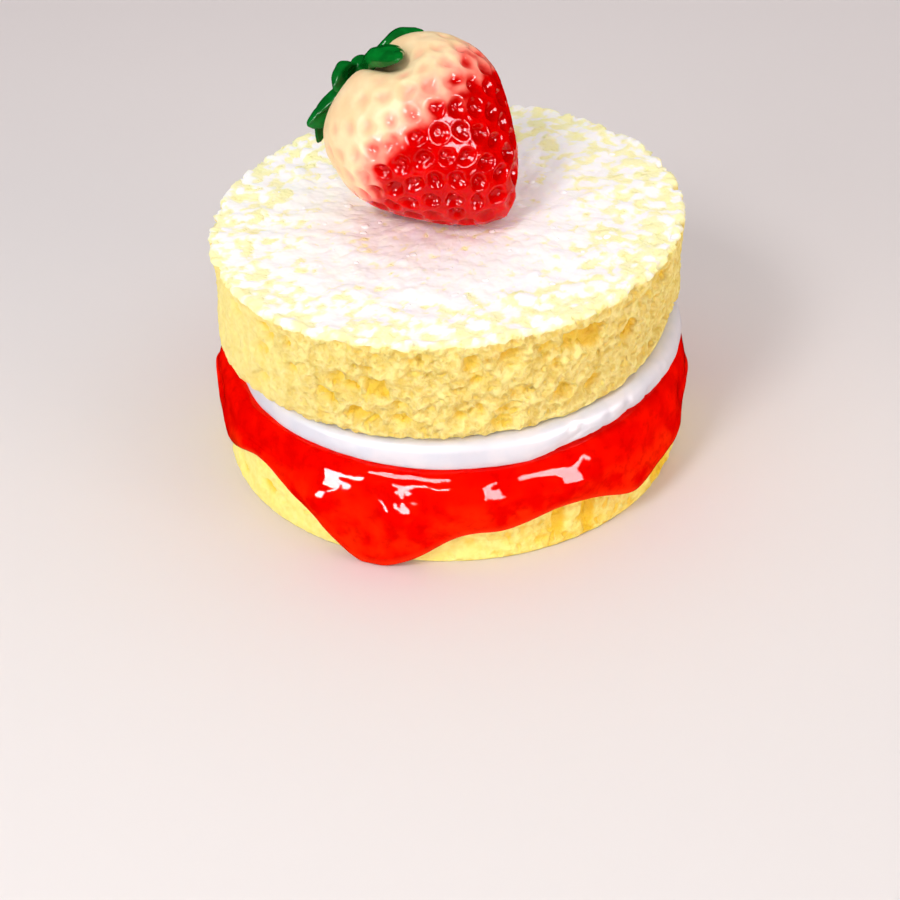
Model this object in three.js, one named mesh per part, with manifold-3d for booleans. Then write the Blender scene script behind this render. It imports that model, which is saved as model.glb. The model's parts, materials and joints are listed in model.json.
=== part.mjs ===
// A small model of a victoria sponge cake: two sponge layers with jam and cream between them,
// a dusted top and one strawberry lying on it.
//
// Millimetres, +Z up. The origin is the middle of the flat face that the lower sponge stands on.
// Angles round the cake, and round the strawberry in its own frame, are counted from -Y towards
// +X. Most pieces are rings of points with a skin over them, where each point is pushed in or out
// by a few plain rules: pores in the crumb, runs of jam, dimples in the strawberry.

import * as THREE from "three";
import { ConvexGeometry } from "three/addons/geometries/ConvexGeometry.js";
import { LoftGeometry } from "three/addons/geometries/LoftGeometry.js";
import { mergeVertices } from "three/addons/utils/BufferGeometryUtils.js";
import Module from "manifold-3d";

const wasm = await Module();
wasm.setup();

const TURN = 2 * Math.PI;
const radians = THREE.MathUtils.degToRad;
const { clamp, lerp, smoothstep } = THREE.MathUtils;

// ---- Driving dimensions ----------------------------------------------------------------------

const GAP = 0.3; // between two pieces that rest on or in each other

const LOWER = { baseRadius: 34.7, topRadius: 33.8, height: 14.6, edge: 0.8 };
const UPPER = {
  baseRadius: 33.2,
  topRadius: 34.6,
  height: 17.2,
  rim: 1.3, // how far the worn top rim reaches in and down
  middle: [0.5, 0, 21], // of its underside
  tilt: radians(2.3), // it leans to the left
};
const JAM = {
  top: 16.9, // top of the spread layer, under the cream
  shoulder: 1.7, // how far it stands out round the top of the lower sponge
  skirt: 1.25, // thickness where it hangs down the side
  hem: 8.2, // height of its lower edge between the runs
  lowest: 0.45, // no run comes nearer to the floor
  reach: 36, // about how far the skirt is from the axis
};
const FILLING_RISE = 0.9; // how far the filling is pushed up towards its edge at the right
const CREAM = {
  radius: 33.3,
  bottom: 17.2,
  roundness: 0.85,
  pushed: [1.4, -1.2], // it has been squeezed out to the right and the front
};
const BERRY = {
  stalkEnd: new THREE.Vector3(-10.36, 7.42, 56.8),
  heading: radians(-35.3), // where the tip points, seen from above, from +X
  dip: radians(34.7), // how far the tip points down
};
// The floor of a dimple reaches that far from its middle, in radians about the ball that the
// strawberry is drawn from. Crowding above 1 draws the dimples towards the tip.
const DIMPLES = { count: 200, depth: 0.65, floor: 0.05, crowding: 1.1 };
const CLEFT = { angle: radians(113), halfWidth: 0.34, length: 8, depth: 4.0 }; // by the stalk
const CHEEK = { angle: radians(218), halfWidth: 0.8, length: 8, standsOut: 0.75 }; // a fuller side
const LEAF = { root: -2.2, stubRadius: 1.5, stubTop: -3.0, stubEnd: 0.4, fold: 0.34 };

// How fine each skin is, in millimetres between neighbouring points.
const FINENESS = { crumb: 1.65, top: 2.25, lower: 2.4, jam: 2.35, cream: 3.3 };

// Runs of jam: where each one hangs, how wide it is, how far its end is below the hem, and how
// much thicker it is there. Angle and width in degrees.
const RUNS = [
  { at: -20, wide: 13.5, drop: 7.9, bulge: 0.85 },
  { at: -53, wide: 13, drop: -2.6, bulge: 0.1 },
  { at: -66, wide: 9, drop: 1.4, bulge: 0.2 },
  { at: -92, wide: 12, drop: -4.2, bulge: 0.3 },
  { at: -7, wide: 8, drop: 2.0, bulge: 0.2 },
  { at: 10, wide: 9.5, drop: 2.0, bulge: 0.3 },
  { at: 48, wide: 12, drop: 3.5, bulge: 0.45 },
  { at: 66, wide: 8, drop: 1.6, bulge: 0.3 },
  { at: 84, wide: 11, drop: -2.4, bulge: 0.1 },
  { at: 112, wide: 11, drop: 4.1, bulge: 0.5 },
  { at: 152, wide: 15, drop: 5.6, bulge: 0.6 },
  { at: 188, wide: 12, drop: -2.2, bulge: 0.1 },
  { at: 222, wide: 12, drop: 4.6, bulge: 0.5 },
  { at: 250, wide: 9, drop: 1.6, bulge: 0.3 },
];

// Soft lumps in the jam. The angle is in degrees, level is that of its middle, halfWidth and
// halfHeight are its size, and standsOut is how far its middle stands out.
const JAM_LUMPS = [
  { at: -32, level: 9.7, halfWidth: 6.0, halfHeight: 3.4, standsOut: 1.8 },
  { at: -13, level: 9.0, halfWidth: 5.6, halfHeight: 3.2, standsOut: 1.6 },
  { at: 3, level: 11.3, halfWidth: 5.5, halfHeight: 3.2, standsOut: 1.6 },
  { at: 28, level: 11.8, halfWidth: 5.5, halfHeight: 2.6, standsOut: 1.1 },
  { at: -60, level: 11.5, halfWidth: 4.0, halfHeight: 2.0, standsOut: 0.5 },
  { at: 62, level: 12.0, halfWidth: 4.0, halfHeight: 2.0, standsOut: 0.5 },
];

// Where the upper sponge's lower rim is rubbed away, or stands out if the depth is below 0. The
// angle and width are in degrees.
const WORN = [
  { at: 69, wide: 13, depth: 2.4 },
  { at: -75, wide: 26, depth: -1.9 },
  { at: 98, wide: 18, depth: -1.3 },
];

// The largest pores in the side of the upper sponge. The angle is in degrees, and the level is
// the height of the middle over the sponge's underside.
const UPPER_PORES = [
  { at: 34.7, level: 12.1, halfWidth: 2.3, halfHeight: 2.5, depth: 3.0 },
  { at: 47.1, level: 9.3, halfWidth: 2.1, halfHeight: 2.3, depth: 2.8 },
  { at: 58.9, level: 14.0, halfWidth: 1.5, halfHeight: 1.4, depth: 2.0 },
  { at: 64.5, level: 5.7, halfWidth: 1.2, halfHeight: 1.3, depth: 1.3 },
  { at: 50.6, level: 13.2, halfWidth: 1.0, halfHeight: 1.1, depth: 0.9 },
  { at: 30.0, level: 14.2, halfWidth: 1.2, halfHeight: 1.0, depth: 0.9 },
  { at: 4.5, level: 12.9, halfWidth: 1.6, halfHeight: 1.9, depth: 1.5 },
  { at: -6.4, level: 14.0, halfWidth: 1.3, halfHeight: 1.3, depth: 1.0 },
  { at: -18.2, level: 8.4, halfWidth: 2.0, halfHeight: 2.2, depth: 1.6 },
  { at: -24.5, level: 8.0, halfWidth: 1.5, halfHeight: 1.8, depth: 1.5 },
  { at: -24.0, level: 3.2, halfWidth: 1.9, halfHeight: 2.0, depth: 1.5 },
  { at: -13.0, level: 3.0, halfWidth: 2.2, halfHeight: 1.7, depth: 1.4 },
  { at: 16.0, level: 6.5, halfWidth: 1.5, halfHeight: 1.5, depth: 1.2 },
  { at: 25.0, level: 9.5, halfWidth: 1.4, halfHeight: 1.6, depth: 1.2 },
];
const LOWER_PORES = [
  { at: 25.2, level: 4.4, halfWidth: 1.3, halfHeight: 3.6, depth: 1.0 },
  { at: 33.7, level: 4.0, halfWidth: 1.5, halfHeight: 3.4, depth: 1.2 },
  { at: 3.0, level: 3.2, halfWidth: 1.6, halfHeight: 1.5, depth: 0.7 },
  { at: -40.8, level: 3.3, halfWidth: 1.7, halfHeight: 1.5, depth: 0.6 },
];

// Leaves of the strawberry, in its own frame, where +Z is towards the tip and 0 is level with
// its shoulders. Each goes out to [reach, level] over [reach, level] at its middle; broad is its
// full width, and turned is how far its end is turned about its own line, in degrees.
const LEAVES = [
  { at: 34, middle: [6.8, -2.1], end: [10.4, 0.2], broad: 3.4, thick: 1.2, turned: 10 },
  { at: 117, middle: [7.5, -0.2], end: [12.8, 3.5], broad: 5.0, thick: 1.7, turned: -6 },
  { at: 181, middle: [3.2, -3.2], end: [7.2, -1.8], broad: 4.4, thick: 1.5, turned: 60 },
  { at: 228, middle: [6.0, -1.9], end: [11.6, -1.5], broad: 4.2, thick: 1.5, turned: 45 },
  { at: 244, middle: [8.8, -1.6], end: [12.9, 1.2], broad: 2.8, thick: 0.9, turned: 0 },
  { at: 318, middle: [6.4, -2.0], end: [11.0, 0.5], broad: 4.4, thick: 1.1, turned: -8 },
];

// ---- Small helpers ---------------------------------------------------------------------------

// A seeded draw: the same numbers from 0 to 1 in the same order every time.
function draws(seed) {
  let state = seed >>> 0;
  return () => {
    state = (state + 0x6d2b79f5) >>> 0;
    let mixed = state;
    mixed = Math.imul(mixed ^ (mixed >>> 15), mixed | 1);
    mixed ^= mixed + Math.imul(mixed ^ (mixed >>> 7), mixed | 61);
    return ((mixed ^ (mixed >>> 14)) >>> 0) / 4294967296;
  };
}

// The signed difference between two angles, from -half a turn to +half a turn.
function angleBetween(a, b) {
  return Math.atan2(Math.sin(a - b), Math.cos(a - b));
}

// A point on a circle about the Z axis.
function around(radius, angle, height) {
  return [radius * Math.sin(angle), -radius * Math.cos(angle), height];
}

// How many points a ring of this radius takes.
function countFor(radius, spacing) {
  return Math.max(1, Math.round((TURN * radius) / spacing));
}

// A closed skin over rings of points, from one point on the axis below to one on the axis above.
// Neighbouring rings may differ in count and be shifted by a part of a step, so that the
// triangles stay even. place(ring, angle) gives each point.
function skin(rings, place) {
  const positions = [];
  const starts = [];
  for (const ring of rings) {
    starts.push(positions.length / 3);
    for (let i = 0; i < ring.count; i++) {
      positions.push(...place(ring, ((i + ring.shift) / ring.count) * TURN));
    }
  }
  const triangles = [];
  for (let r = 0; r + 1 < rings.length; r++) {
    const [below, above] = [rings[r], rings[r + 1]];
    const low = (i) => starts[r] + (i % below.count);
    const high = (i) => starts[r + 1] + (i % above.count);
    const lowSteps = below.count > 1 ? below.count : 0;
    const highSteps = above.count > 1 ? above.count : 0;
    let i = 0;
    let j = 0;
    while (i < lowSteps || j < highSteps) {
      const nextLow = (i + 1 + below.shift) / below.count;
      const nextHigh = (j + 1 + above.shift) / above.count;
      if (j >= highSteps || (i < lowSteps && nextLow <= nextHigh)) {
        triangles.push(low(i), low(i + 1), high(j));
        i++;
      } else {
        triangles.push(low(i), high(j + 1), high(j));
        j++;
      }
    }
  }
  const geometry = new THREE.BufferGeometry();
  geometry.setAttribute("position", new THREE.Float32BufferAttribute(positions, 3));
  geometry.setIndex(triangles);
  return geometry;
}

function welded(geometry) {
  const plain = new THREE.BufferGeometry().copy(geometry);
  for (const extra of ["normal", "uv"]) plain.deleteAttribute(extra);
  return mergeVertices(plain, 1e-4);
}

function solidFrom(geometry) {
  return new wasm.Manifold(
    new wasm.Mesh({
      numProp: 3,
      vertProperties: new Float32Array(geometry.getAttribute("position").array),
      triVerts: new Uint32Array(geometry.index.array),
    }),
  );
}

function geometryFrom(solid) {
  const { vertProperties, triVerts } = solid.getMesh();
  const geometry = new THREE.BufferGeometry();
  geometry.setAttribute("position", new THREE.BufferAttribute(vertProperties, 3));
  geometry.setIndex(new THREE.BufferAttribute(triVerts, 1));
  return geometry;
}

function named(name, geometry, color, roughness) {
  const faceted = geometry.toNonIndexed();
  faceted.computeVertexNormals();
  const material = new THREE.MeshStandardMaterial({ color, roughness, metalness: 0 });
  const mesh = new THREE.Mesh(faceted, material);
  mesh.name = name;
  return mesh;
}

// ---- Crumb -----------------------------------------------------------------------------------

// Pores in a sponge's side: the listed ones, then small ones scattered over it.
function scatterPores(height, listed, count, seed) {
  const draw = draws(seed);
  const pores = listed.map((pore) => ({ ...pore, angle: radians(pore.at) }));
  for (let i = 0; i < count; i++) {
    const size = 0.9 + 1.3 * draw() ** 2;
    pores.push({
      angle: draw() * TURN,
      level: height * (0.04 + 0.92 * draw()),
      halfWidth: size * (0.8 + 0.5 * draw()),
      halfHeight: size * (0.8 + 0.5 * draw()),
      depth: size * (0.45 + 0.35 * draw()),
    });
  }
  return pores;
}

// How deep the side is at one place: the deepest pore there, steep above and gentle below.
function poreDepth(pores, radius, angle, level) {
  let deepest = 0;
  for (const pore of pores) {
    const across = (angleBetween(angle, pore.angle) * radius) / pore.halfWidth;
    const up = (level - pore.level) / pore.halfHeight;
    const reach = across * across + up * up;
    if (reach < 1) deepest = Math.max(deepest, pore.depth * (1 - reach) * (0.8 + 0.45 * up));
  }
  return deepest;
}

// A slow unevenness round a piece, from -1 to 1.
function waver(angle, phase) {
  const slow = 0.5 * Math.sin(2 * angle + phase) + 0.3 * Math.sin(3 * angle + 2.1 * phase);
  return slow + 0.2 * Math.sin(7 * angle + 3.7 * phase);
}

// ---- The layers ------------------------------------------------------------------------------

// Radius of the lower sponge's side, pores aside.
function lowerRadius(level) {
  return lerp(LOWER.baseRadius, LOWER.topRadius, level / LOWER.height);
}

function lowerSponge() {
  const { height, edge, baseRadius, topRadius } = LOWER;
  const count = countFor(baseRadius, FINENESS.lower);
  const flat = (radius, level) => ({ radius, level, count: countFor(radius, 5), shift: 0 });
  const rings = [flat(0, 0), flat(18, 0), { radius: baseRadius - edge, level: 0, count, shift: 0 }];
  const rows = Math.round((height - 2 * edge) / FINENESS.lower);
  for (let i = 0; i <= rows; i++) {
    const level = lerp(edge, height - edge, i / rows);
    rings.push({ radius: lowerRadius(level), level, count, shift: (i % 2) / 2, onSide: true });
  }
  rings.push({ radius: topRadius - edge, level: height, count, shift: 0 });
  rings.push(flat(18, height), flat(0, height));
  const pores = scatterPores(height, LOWER_PORES, 70, 41);
  return skin(rings, ({ radius, level, onSide }, angle) => {
    const depth = onSide ? 0.8 * poreDepth(pores, baseRadius, angle, level) : 0;
    return around(radius - depth, angle, level);
  });
}

// How far below the hem the jam hangs at an angle, and how much thicker it is there.
function runAt(angle) {
  const sum = { drop: 0, bulge: 0 };
  for (const { at, wide, drop, bulge } of RUNS) {
    const away = angleBetween(angle, radians(at)) / radians(wide);
    const share = Math.exp(-away * away);
    sum.drop += drop * share;
    sum.bulge += bulge * share;
  }
  return sum;
}

// How far the jam's lumps stand out at a place on its outside.
function lumpAt(angle, height) {
  let lump = 0;
  for (const { at, level, halfWidth, halfHeight, standsOut } of JAM_LUMPS) {
    const across = (angleBetween(angle, radians(at)) * JAM.reach) / halfWidth;
    const up = (height - level) / halfHeight;
    lump += standsOut * Math.exp(-across * across - up * up);
  }
  return lump;
}

// How far the filling is pushed up at a place.
function fillingRise(angle, radius) {
  const turn = THREE.MathUtils.radToDeg(angleBetween(angle, 0));
  const atRight = smoothstep(turn, 10, 50) * (1 - smoothstep(turn, 90, 130));
  return FILLING_RISE * atRight * smoothstep(radius, 20, 31);
}

function jam() {
  const { top, shoulder, skirt, hem, lowest } = JAM;
  const edge = LOWER.topRadius;
  const count = countFor(LOWER.baseRadius, FINENESS.jam);
  const flat = (radius, level) => ({ radius, level, count: countFor(radius, 5), shift: 0 });
  const even = { count, shift: 0 };
  const inside = LOWER.height + GAP;
  // share is how far up the skirt a ring is, from its lower edge, 0, to the sponge's top, 1, and
  // out is its distance from the sponge in skirt thicknesses.
  const drape = [
    { ...even, share: 0.5, out: 0 },
    { ...even, share: 0.06, out: 0.05 },
    { ...even, share: -0.02, out: 0.5 },
    { ...even, share: 0.04, out: 1.0 },
    { ...even, share: 0.22, out: 1.2 },
    { ...even, share: 0.5, out: 1.22 },
    { ...even, share: 0.85, out: 1.14 },
  ];
  const rings = [
    flat(0, inside),
    flat(18, inside),
    { ...even, radius: edge + GAP, level: inside },
    ...drape,
    { ...even, radius: edge + shoulder, level: LOWER.height - 1.2, swollen: 1, risen: 0 },
    { ...even, radius: edge + 0.8 * shoulder, level: LOWER.height + 0.4, swollen: 0.7, risen: 0.3 },
    { ...even, radius: edge + 0.25 * shoulder, level: top - 0.7, swollen: 0.3, risen: 0.7 },
    { ...even, radius: edge - 0.6, level: top, swollen: 0, risen: 1 },
    flat(20, top),
    flat(0, top),
  ];
  return skin(rings, ({ radius, level, swollen = 0, risen = 0, share, out }, angle) => {
    const { drop, bulge } = runAt(angle);
    const swell = 0.5 * bulge + 0.25 * waver(angle, 0.8);
    if (share === undefined) {
      const height = level + risen * fillingRise(angle, radius);
      return around(radius + swollen * (swell + lumpAt(angle, height)), angle, height);
    }
    const lowerEdge = Math.max(lowest, hem - drop + 0.35 * waver(2 * angle, 1.3));
    const highest = LOWER.height - (out > 0.9 ? 2.2 * share : 0);
    const height = lerp(lowerEdge, highest, share);
    const bulging = bulge * (1 - smoothstep(share, 0.1, 0.9)) + swell * smoothstep(share, 0.4, 1);
    const lump = out > 0.9 ? lumpAt(angle, height) : 0;
    return around(lowerRadius(height) + GAP + out * (skirt + bulging) + lump, angle, height);
  });
}

// The cream is pressed into a wedge: its top follows the tilted underside of the upper sponge.
function cream() {
  const { radius: widest, bottom, roundness, pushed } = CREAM;
  const count = countFor(widest, FINENESS.cream);
  const flat = (radius, share) => ({ radius, share, count: countFor(radius, 5), shift: 0 });
  const rings = [flat(0, 0), flat(18, 0)];
  const steps = 6;
  for (let i = 0; i <= steps; i++) {
    const share = (1 - Math.cos((Math.PI * i) / steps)) / 2;
    rings.push({ radius: widest, share, count, shift: (i % 2) / 2, onEdge: true });
  }
  rings.push(flat(18, 1), flat(0, 1));
  return skin(rings, ({ radius, share, onEdge }, angle) => {
    const [overX, , raised] = UPPER.middle;
    const offMiddle = radius * Math.sin(angle) + pushed[0] - overX;
    const top = raised + offMiddle * Math.tan(UPPER.tilt) - GAP;
    const low = bottom + fillingRise(angle, radius);
    const tuck = 1 - Math.sqrt(1 - (2 * share - 1) ** 2);
    const inset = (roundness * tuck * (top - low)) / 2;
    const wave = onEdge ? 0.3 * waver(angle, 2.4) : 0;
    const [x, y, z] = around(radius + wave - (onEdge ? inset : 0), angle, lerp(low, top, share));
    return [x + pushed[0], y + pushed[1], z];
  });
}

// How far the upper sponge's lower rim is rubbed away at an angle.
function wornAt(angle) {
  let wear = 0;
  for (const { at, wide, depth } of WORN) {
    const away = angleBetween(angle, radians(at)) / radians(wide);
    wear += depth * Math.exp(-away * away);
  }
  return wear;
}

// The upper sponge in its own frame: its underside is at level 0.
function upperSponge() {
  const { baseRadius, topRadius, height, rim } = UPPER;
  const count = countFor(topRadius, FINENESS.crumb);
  const flat = (radius) => ({ radius, level: 0, count: countFor(radius, 5), shift: 0 });
  const rings = [flat(0), flat(18), { radius: baseRadius - 0.8, level: 0, count, shift: 0.5 }];
  const rows = Math.round((height - rim) / FINENESS.crumb);
  for (let i = 0; i <= rows; i++) {
    const level = lerp(0.7, height - rim, i / rows);
    const radius = lerp(baseRadius, topRadius, level / height);
    rings.push({ radius, level, count, shift: (i % 2) / 2, rough: 0.3 });
  }
  rings.push({ radius: topRadius - 0.3 * rim, level: height - 0.4, count, shift: 0.25, rough: 0.2 });
  const ringsAcross = Math.round((topRadius - rim) / FINENESS.top);
  for (let i = ringsAcross; i >= 0; i--) {
    const radius = ((topRadius - rim) * i) / ringsAcross;
    const inRing = countFor(radius, FINENESS.top);
    rings.push({ radius, level: height, count: inRing, shift: (i % 2) / 2, lumpy: 0.9 });
  }
  const pores = scatterPores(height, UPPER_PORES, 150, 7);
  const draw = draws(23);
  return skin(rings, ({ radius, level, rough = 0, lumpy = 0 }, angle) => {
    const jitter = rough * (2 * draw() - 1);
    const lump = lumpy * (draw() - 0.6);
    if (!rough) return around(radius, angle, level + lump);
    const wear = wornAt(angle) * (1 - smoothstep(level, 1, 13));
    const unevenness = 0.3 * waver(angle, 1.7) + jitter - wear;
    return around(radius + unevenness - poreDepth(pores, topRadius, angle, level), angle, level);
  });
}

// ---- The strawberry --------------------------------------------------------------------------

// Half the strawberry's outline, [along, radius], from the hollow under its leaves to its tip.
const berryOutline = new THREE.CatmullRomCurve3(
  [
    [0.9, 0],
    [0.3, 3.2],
    [-0.6, 5.6],
    [0.1, 8.0],
    [2.2, 10.6],
    [5.5, 12.6],
    [9.8, 13.6],
    [13.6, 12.8],
    [18.2, 10.5],
    [22.7, 7.5],
    [25.6, 4.8],
    [27.6, 2.3],
    [28.5, 0],
  ].map(([along, radius]) => new THREE.Vector3(along, radius, 0)),
  false,
  "centripetal",
);

// Places along the outline, each with the outline's direction there and the share of the skin's
// area that lies before it.
function berryStations(steps) {
  const points = berryOutline.getSpacedPoints(steps);
  let area = 0;
  const stations = points.map((point, i) => {
    if (i > 0) area += (point.y + points[i - 1].y) / 2;
    return { along: point.x, radius: point.y, area, tangent: berryOutline.getTangentAt(i / steps) };
  });
  for (const station of stations) station.area /= area;
  return stations;
}

// Directions spread evenly over a ball along a spiral, each a golden angle on from the last.
function spiralDirections(count) {
  const golden = Math.PI * (3 - Math.sqrt(5));
  return Array.from({ length: count }, (_, i) => {
    const height = 1 - (2 * i + 1) / count;
    return new THREE.Vector3(...around(Math.sqrt(1 - height * height), i * golden, height));
  });
}

// Directions of the dimples, drawn a little towards the tip.
function dimpleDirections() {
  return spiralDirections(DIMPLES.count).map(({ x, y, z }) => {
    const height = 1 - 2 * ((1 - z) / 2) ** (1 / DIMPLES.crowding);
    return new THREE.Vector3(
      ...around(Math.sqrt(1 - height * height), Math.atan2(x, -y), height),
    );
  });
}

// Corners of the small floor of a dimple, as directions from the middle of the ball.
function dimpleFloor(dimple) {
  const sideways = new THREE.Vector3(0, 0, 1).cross(dimple).normalize();
  const onward = new THREE.Vector3().crossVectors(dimple, sideways);
  return [0, 1, 2, 3].map((corner) => {
    const angle = ((corner + 0.5) / 4) * TURN;
    return dimple
      .clone()
      .addScaledVector(sideways, DIMPLES.floor * Math.cos(angle))
      .addScaledVector(onward, DIMPLES.floor * Math.sin(angle))
      .normalize();
  });
}

// The middle of each triangle of a net over the ball, back out on the ball.
function middlesOf(net) {
  const position = net.getAttribute("position");
  const corner = (i) => new THREE.Vector3().fromBufferAttribute(position, net.index.getX(i));
  const middles = [];
  for (let i = 0; i < net.index.count; i += 3) {
    middles.push(corner(i).add(corner(i + 1)).add(corner(i + 2)).normalize());
  }
  return middles;
}

// The strawberry's plain outline with its cleft and its fuller cheek.
function berryForm(angle, along, radius) {
  const offCleft = angleBetween(angle, CLEFT.angle) / CLEFT.halfWidth;
  const byStalk = (1 - smoothstep(along, -1, CLEFT.length)) * smoothstep(radius, 2.5, 6);
  const cleft = CLEFT.depth * Math.exp(-offCleft * offCleft) * byStalk;
  const offCheek = angleBetween(angle, CHEEK.angle) / CHEEK.halfWidth;
  const onShoulder = smoothstep(radius, 5, 10) * (1 - smoothstep(along, 2, CHEEK.length));
  const cheek = CHEEK.standsOut * Math.exp(-offCheek * offCheek) * onShoulder;
  return { along: along + 0.8 * cleft, radius: radius - 0.35 * cleft + cheek };
}

// A ball with a small floor at each dimple and a point between each three of them, drawn out to
// the strawberry's outline so that equal areas stay equal.
function berryGeometry() {
  const dimples = dimpleDirections();
  const between = middlesOf(welded(new ConvexGeometry(dimples)));
  const ball = welded(new ConvexGeometry([...dimples.flatMap(dimpleFloor), ...between]));
  const stations = berryStations(160);
  const position = ball.getAttribute("position");
  const direction = new THREE.Vector3();
  for (let i = 0; i < position.count; i++) {
    direction.fromBufferAttribute(position, i);
    const area = clamp((1 - direction.z) / 2, 0, 1);
    const next = Math.max(1, stations.findIndex((station) => station.area >= area));
    const [before, after] = [stations[next - 1], stations[next]];
    const share = (area - before.area) / (after.area - before.area);
    const inDimple = dimples.some((dimple) => dimple.distanceTo(direction) < 1.1 * DIMPLES.floor);
    const depth = inDimple ? DIMPLES.depth * smoothstep(area, 0.03, 0.09) : 0;
    const tangent = before.tangent.clone().lerp(after.tangent, share);
    const along = lerp(before.along, after.along, share) + depth * tangent.y;
    const radius = lerp(before.radius, after.radius, share) - depth * tangent.x;
    const angle = Math.atan2(direction.x, -direction.y);
    const formed = berryForm(angle, along, radius);
    position.setXYZ(i, ...around(formed.radius, angle, formed.along));
  }
  // The ball's top is now the stalk end, the lowest, which has turned the skin inside out.
  const { index } = ball;
  for (let i = 0; i < index.count; i += 3) {
    const first = index.getX(i);
    index.setX(i, index.getX(i + 1));
    index.setX(i + 1, first);
  }
  return ball;
}

// The strawberry's plain outline, grown by a margin, for the seat that it presses into the sponge.
function seatGeometry(margin) {
  const steps = 14;
  const profile = berryOutline.getSpacedPoints(steps).map((point, i) => {
    const tangent = berryOutline.getTangentAt(i / steps);
    const atEnd = i === 0 || i === steps;
    const radius = atEnd ? 0 : point.y + margin * tangent.x;
    return new THREE.Vector2(radius, point.x - margin * tangent.y);
  });
  const seat = new THREE.LatheGeometry(profile, 22);
  seat.rotateX(Math.PI / 2);
  return welded(seat);
}

// One plump leaf as a loft: each section is a lens across the leaf's line, folded along the line.
function leafGeometry({ at, middle, end, broad, thick, turned }) {
  const point = ([reach, level]) => new THREE.Vector3(...around(reach, radians(at), level));
  const line = new THREE.CatmullRomCurve3([
    point([0.4, LEAF.root]),
    point([0.5 * middle[0], lerp(LEAF.root, middle[1], 0.6)]),
    point(middle),
    point(end),
  ]);
  const sections = [];
  const steps = 8;
  const across = 4;
  for (let i = 0; i <= steps; i++) {
    const share = lerp(0.015, 0.985, i / steps);
    const ahead = line.getTangentAt(share);
    const outward = new THREE.Vector3(0, 0, -1);
    const side = new THREE.Vector3().crossVectors(ahead, outward).normalize();
    side.applyAxisAngle(ahead, radians(turned) * share);
    const face = new THREE.Vector3().crossVectors(side, ahead).normalize();
    const closing = Math.sin(Math.PI * share) ** 0.32;
    const half = (broad / 2) * Math.sqrt(Math.sin(Math.PI * (0.12 + 0.74 * share))) * closing;
    const thickness = thick * (0.5 + 0.5 * smoothstep(share, 0.05, 0.4)) * closing;
    const place = (offset, upper) => {
      const fold = LEAF.fold * half * Math.abs(offset) ** 1.3;
      const height = upper * thickness * (0.5 - 0.32 * offset * offset) - fold;
      const middleLine = line.getPointAt(share);
      return middleLine.addScaledVector(side, offset * half).addScaledVector(face, height);
    };
    const section = [];
    for (let j = 0; j <= across; j++) section.push(place((2 * j) / across - 1, 1));
    for (let j = across; j >= 0; j--) section.push(place((2 * j) / across - 1, -1));
    sections.push(section);
  }
  return welded(new LoftGeometry(sections, { capStart: true, capEnd: true }));
}

// The same shape with every point moved outwards by a margin.
function grownBy(margin, geometry) {
  const grown = geometry.clone();
  grown.computeVertexNormals();
  const position = grown.getAttribute("position");
  const normal = grown.getAttribute("normal");
  for (let i = 0; i < position.count; i++) {
    const spot = new THREE.Vector3().fromBufferAttribute(position, i);
    spot.addScaledVector(new THREE.Vector3().fromBufferAttribute(normal, i), margin);
    position.setXYZ(i, ...spot);
  }
  return grown;
}

// The leaves are one moulding, with a stub in the middle that stands in the strawberry's hollow.
// It lies on the strawberry without touching it.
function leavesGeometry(berry) {
  const { stubRadius, stubTop, stubEnd } = LEAF;
  const stub = new THREE.CapsuleGeometry(stubRadius, stubEnd - stubTop - 2 * stubRadius, 3, 10);
  stub.rotateX(Math.PI / 2);
  stub.translate(0, 0, (stubTop + stubEnd) / 2);
  let leaves = solidFrom(welded(stub));
  for (const leaf of LEAVES) leaves = leaves.add(solidFrom(leafGeometry(leaf)));
  const pieces = leaves.subtract(solidFrom(grownBy(GAP, berry))).decompose();
  pieces.sort((a, b) => b.volume() - a.volume());
  return geometryFrom(pieces[0]);
}

// The strawberry's own frame: +Z towards its tip, and -Y level, away from the front.
function berryFrame() {
  const { stalkEnd, heading, dip } = BERRY;
  const tip = new THREE.Vector3(1, 0, 0);
  tip.applyAxisAngle(new THREE.Vector3(0, 1, 0), dip);
  tip.applyAxisAngle(new THREE.Vector3(0, 0, 1), heading);
  const level = new THREE.Vector3(0, 0, 1).cross(tip).normalize();
  const upper = new THREE.Vector3().crossVectors(tip, level);
  return new THREE.Matrix4()
    .makeBasis(upper, level.clone().negate(), tip)
    .setPosition(stalkEnd);
}

// ---- The whole cake --------------------------------------------------------------------------

const COLOURS = {
  lower: 0xf0d67a,
  jam: 0xc80a0a,
  cream: 0xf4f3f6,
  upper: 0xf3dc84,
  berry: 0xd3231c,
  leaves: 0x0d5c22,
};

const strawberry = new THREE.Group();
strawberry.applyMatrix4(berryFrame());
strawberry.updateMatrixWorld(true);
const berry = berryGeometry();
strawberry.add(named("strawberry", berry, COLOURS.berry, 0.3));
strawberry.add(named("strawberry_leaves", leavesGeometry(berry), COLOURS.leaves, 0.42));

const upperFrame = new THREE.Matrix4().makeRotationY(-UPPER.tilt).setPosition(...UPPER.middle);
const seat = seatGeometry(GAP + 0.1);
seat.applyMatrix4(strawberry.matrixWorld);
seat.applyMatrix4(upperFrame.clone().invert());
const seatedSponge = solidFrom(upperSponge()).subtract(solidFrom(seat));
const upper = named("upper_sponge", geometryFrom(seatedSponge), COLOURS.upper, 0.85);
upper.applyMatrix4(upperFrame);

const cake = new THREE.Group();
cake.add(named("lower_sponge", lowerSponge(), COLOURS.lower, 0.85));
cake.add(named("jam", jam(), COLOURS.jam, 0.08));
cake.add(named("cream", cream(), COLOURS.cream, 0.5));
cake.add(upper);
cake.add(strawberry);

export default cake;
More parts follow.
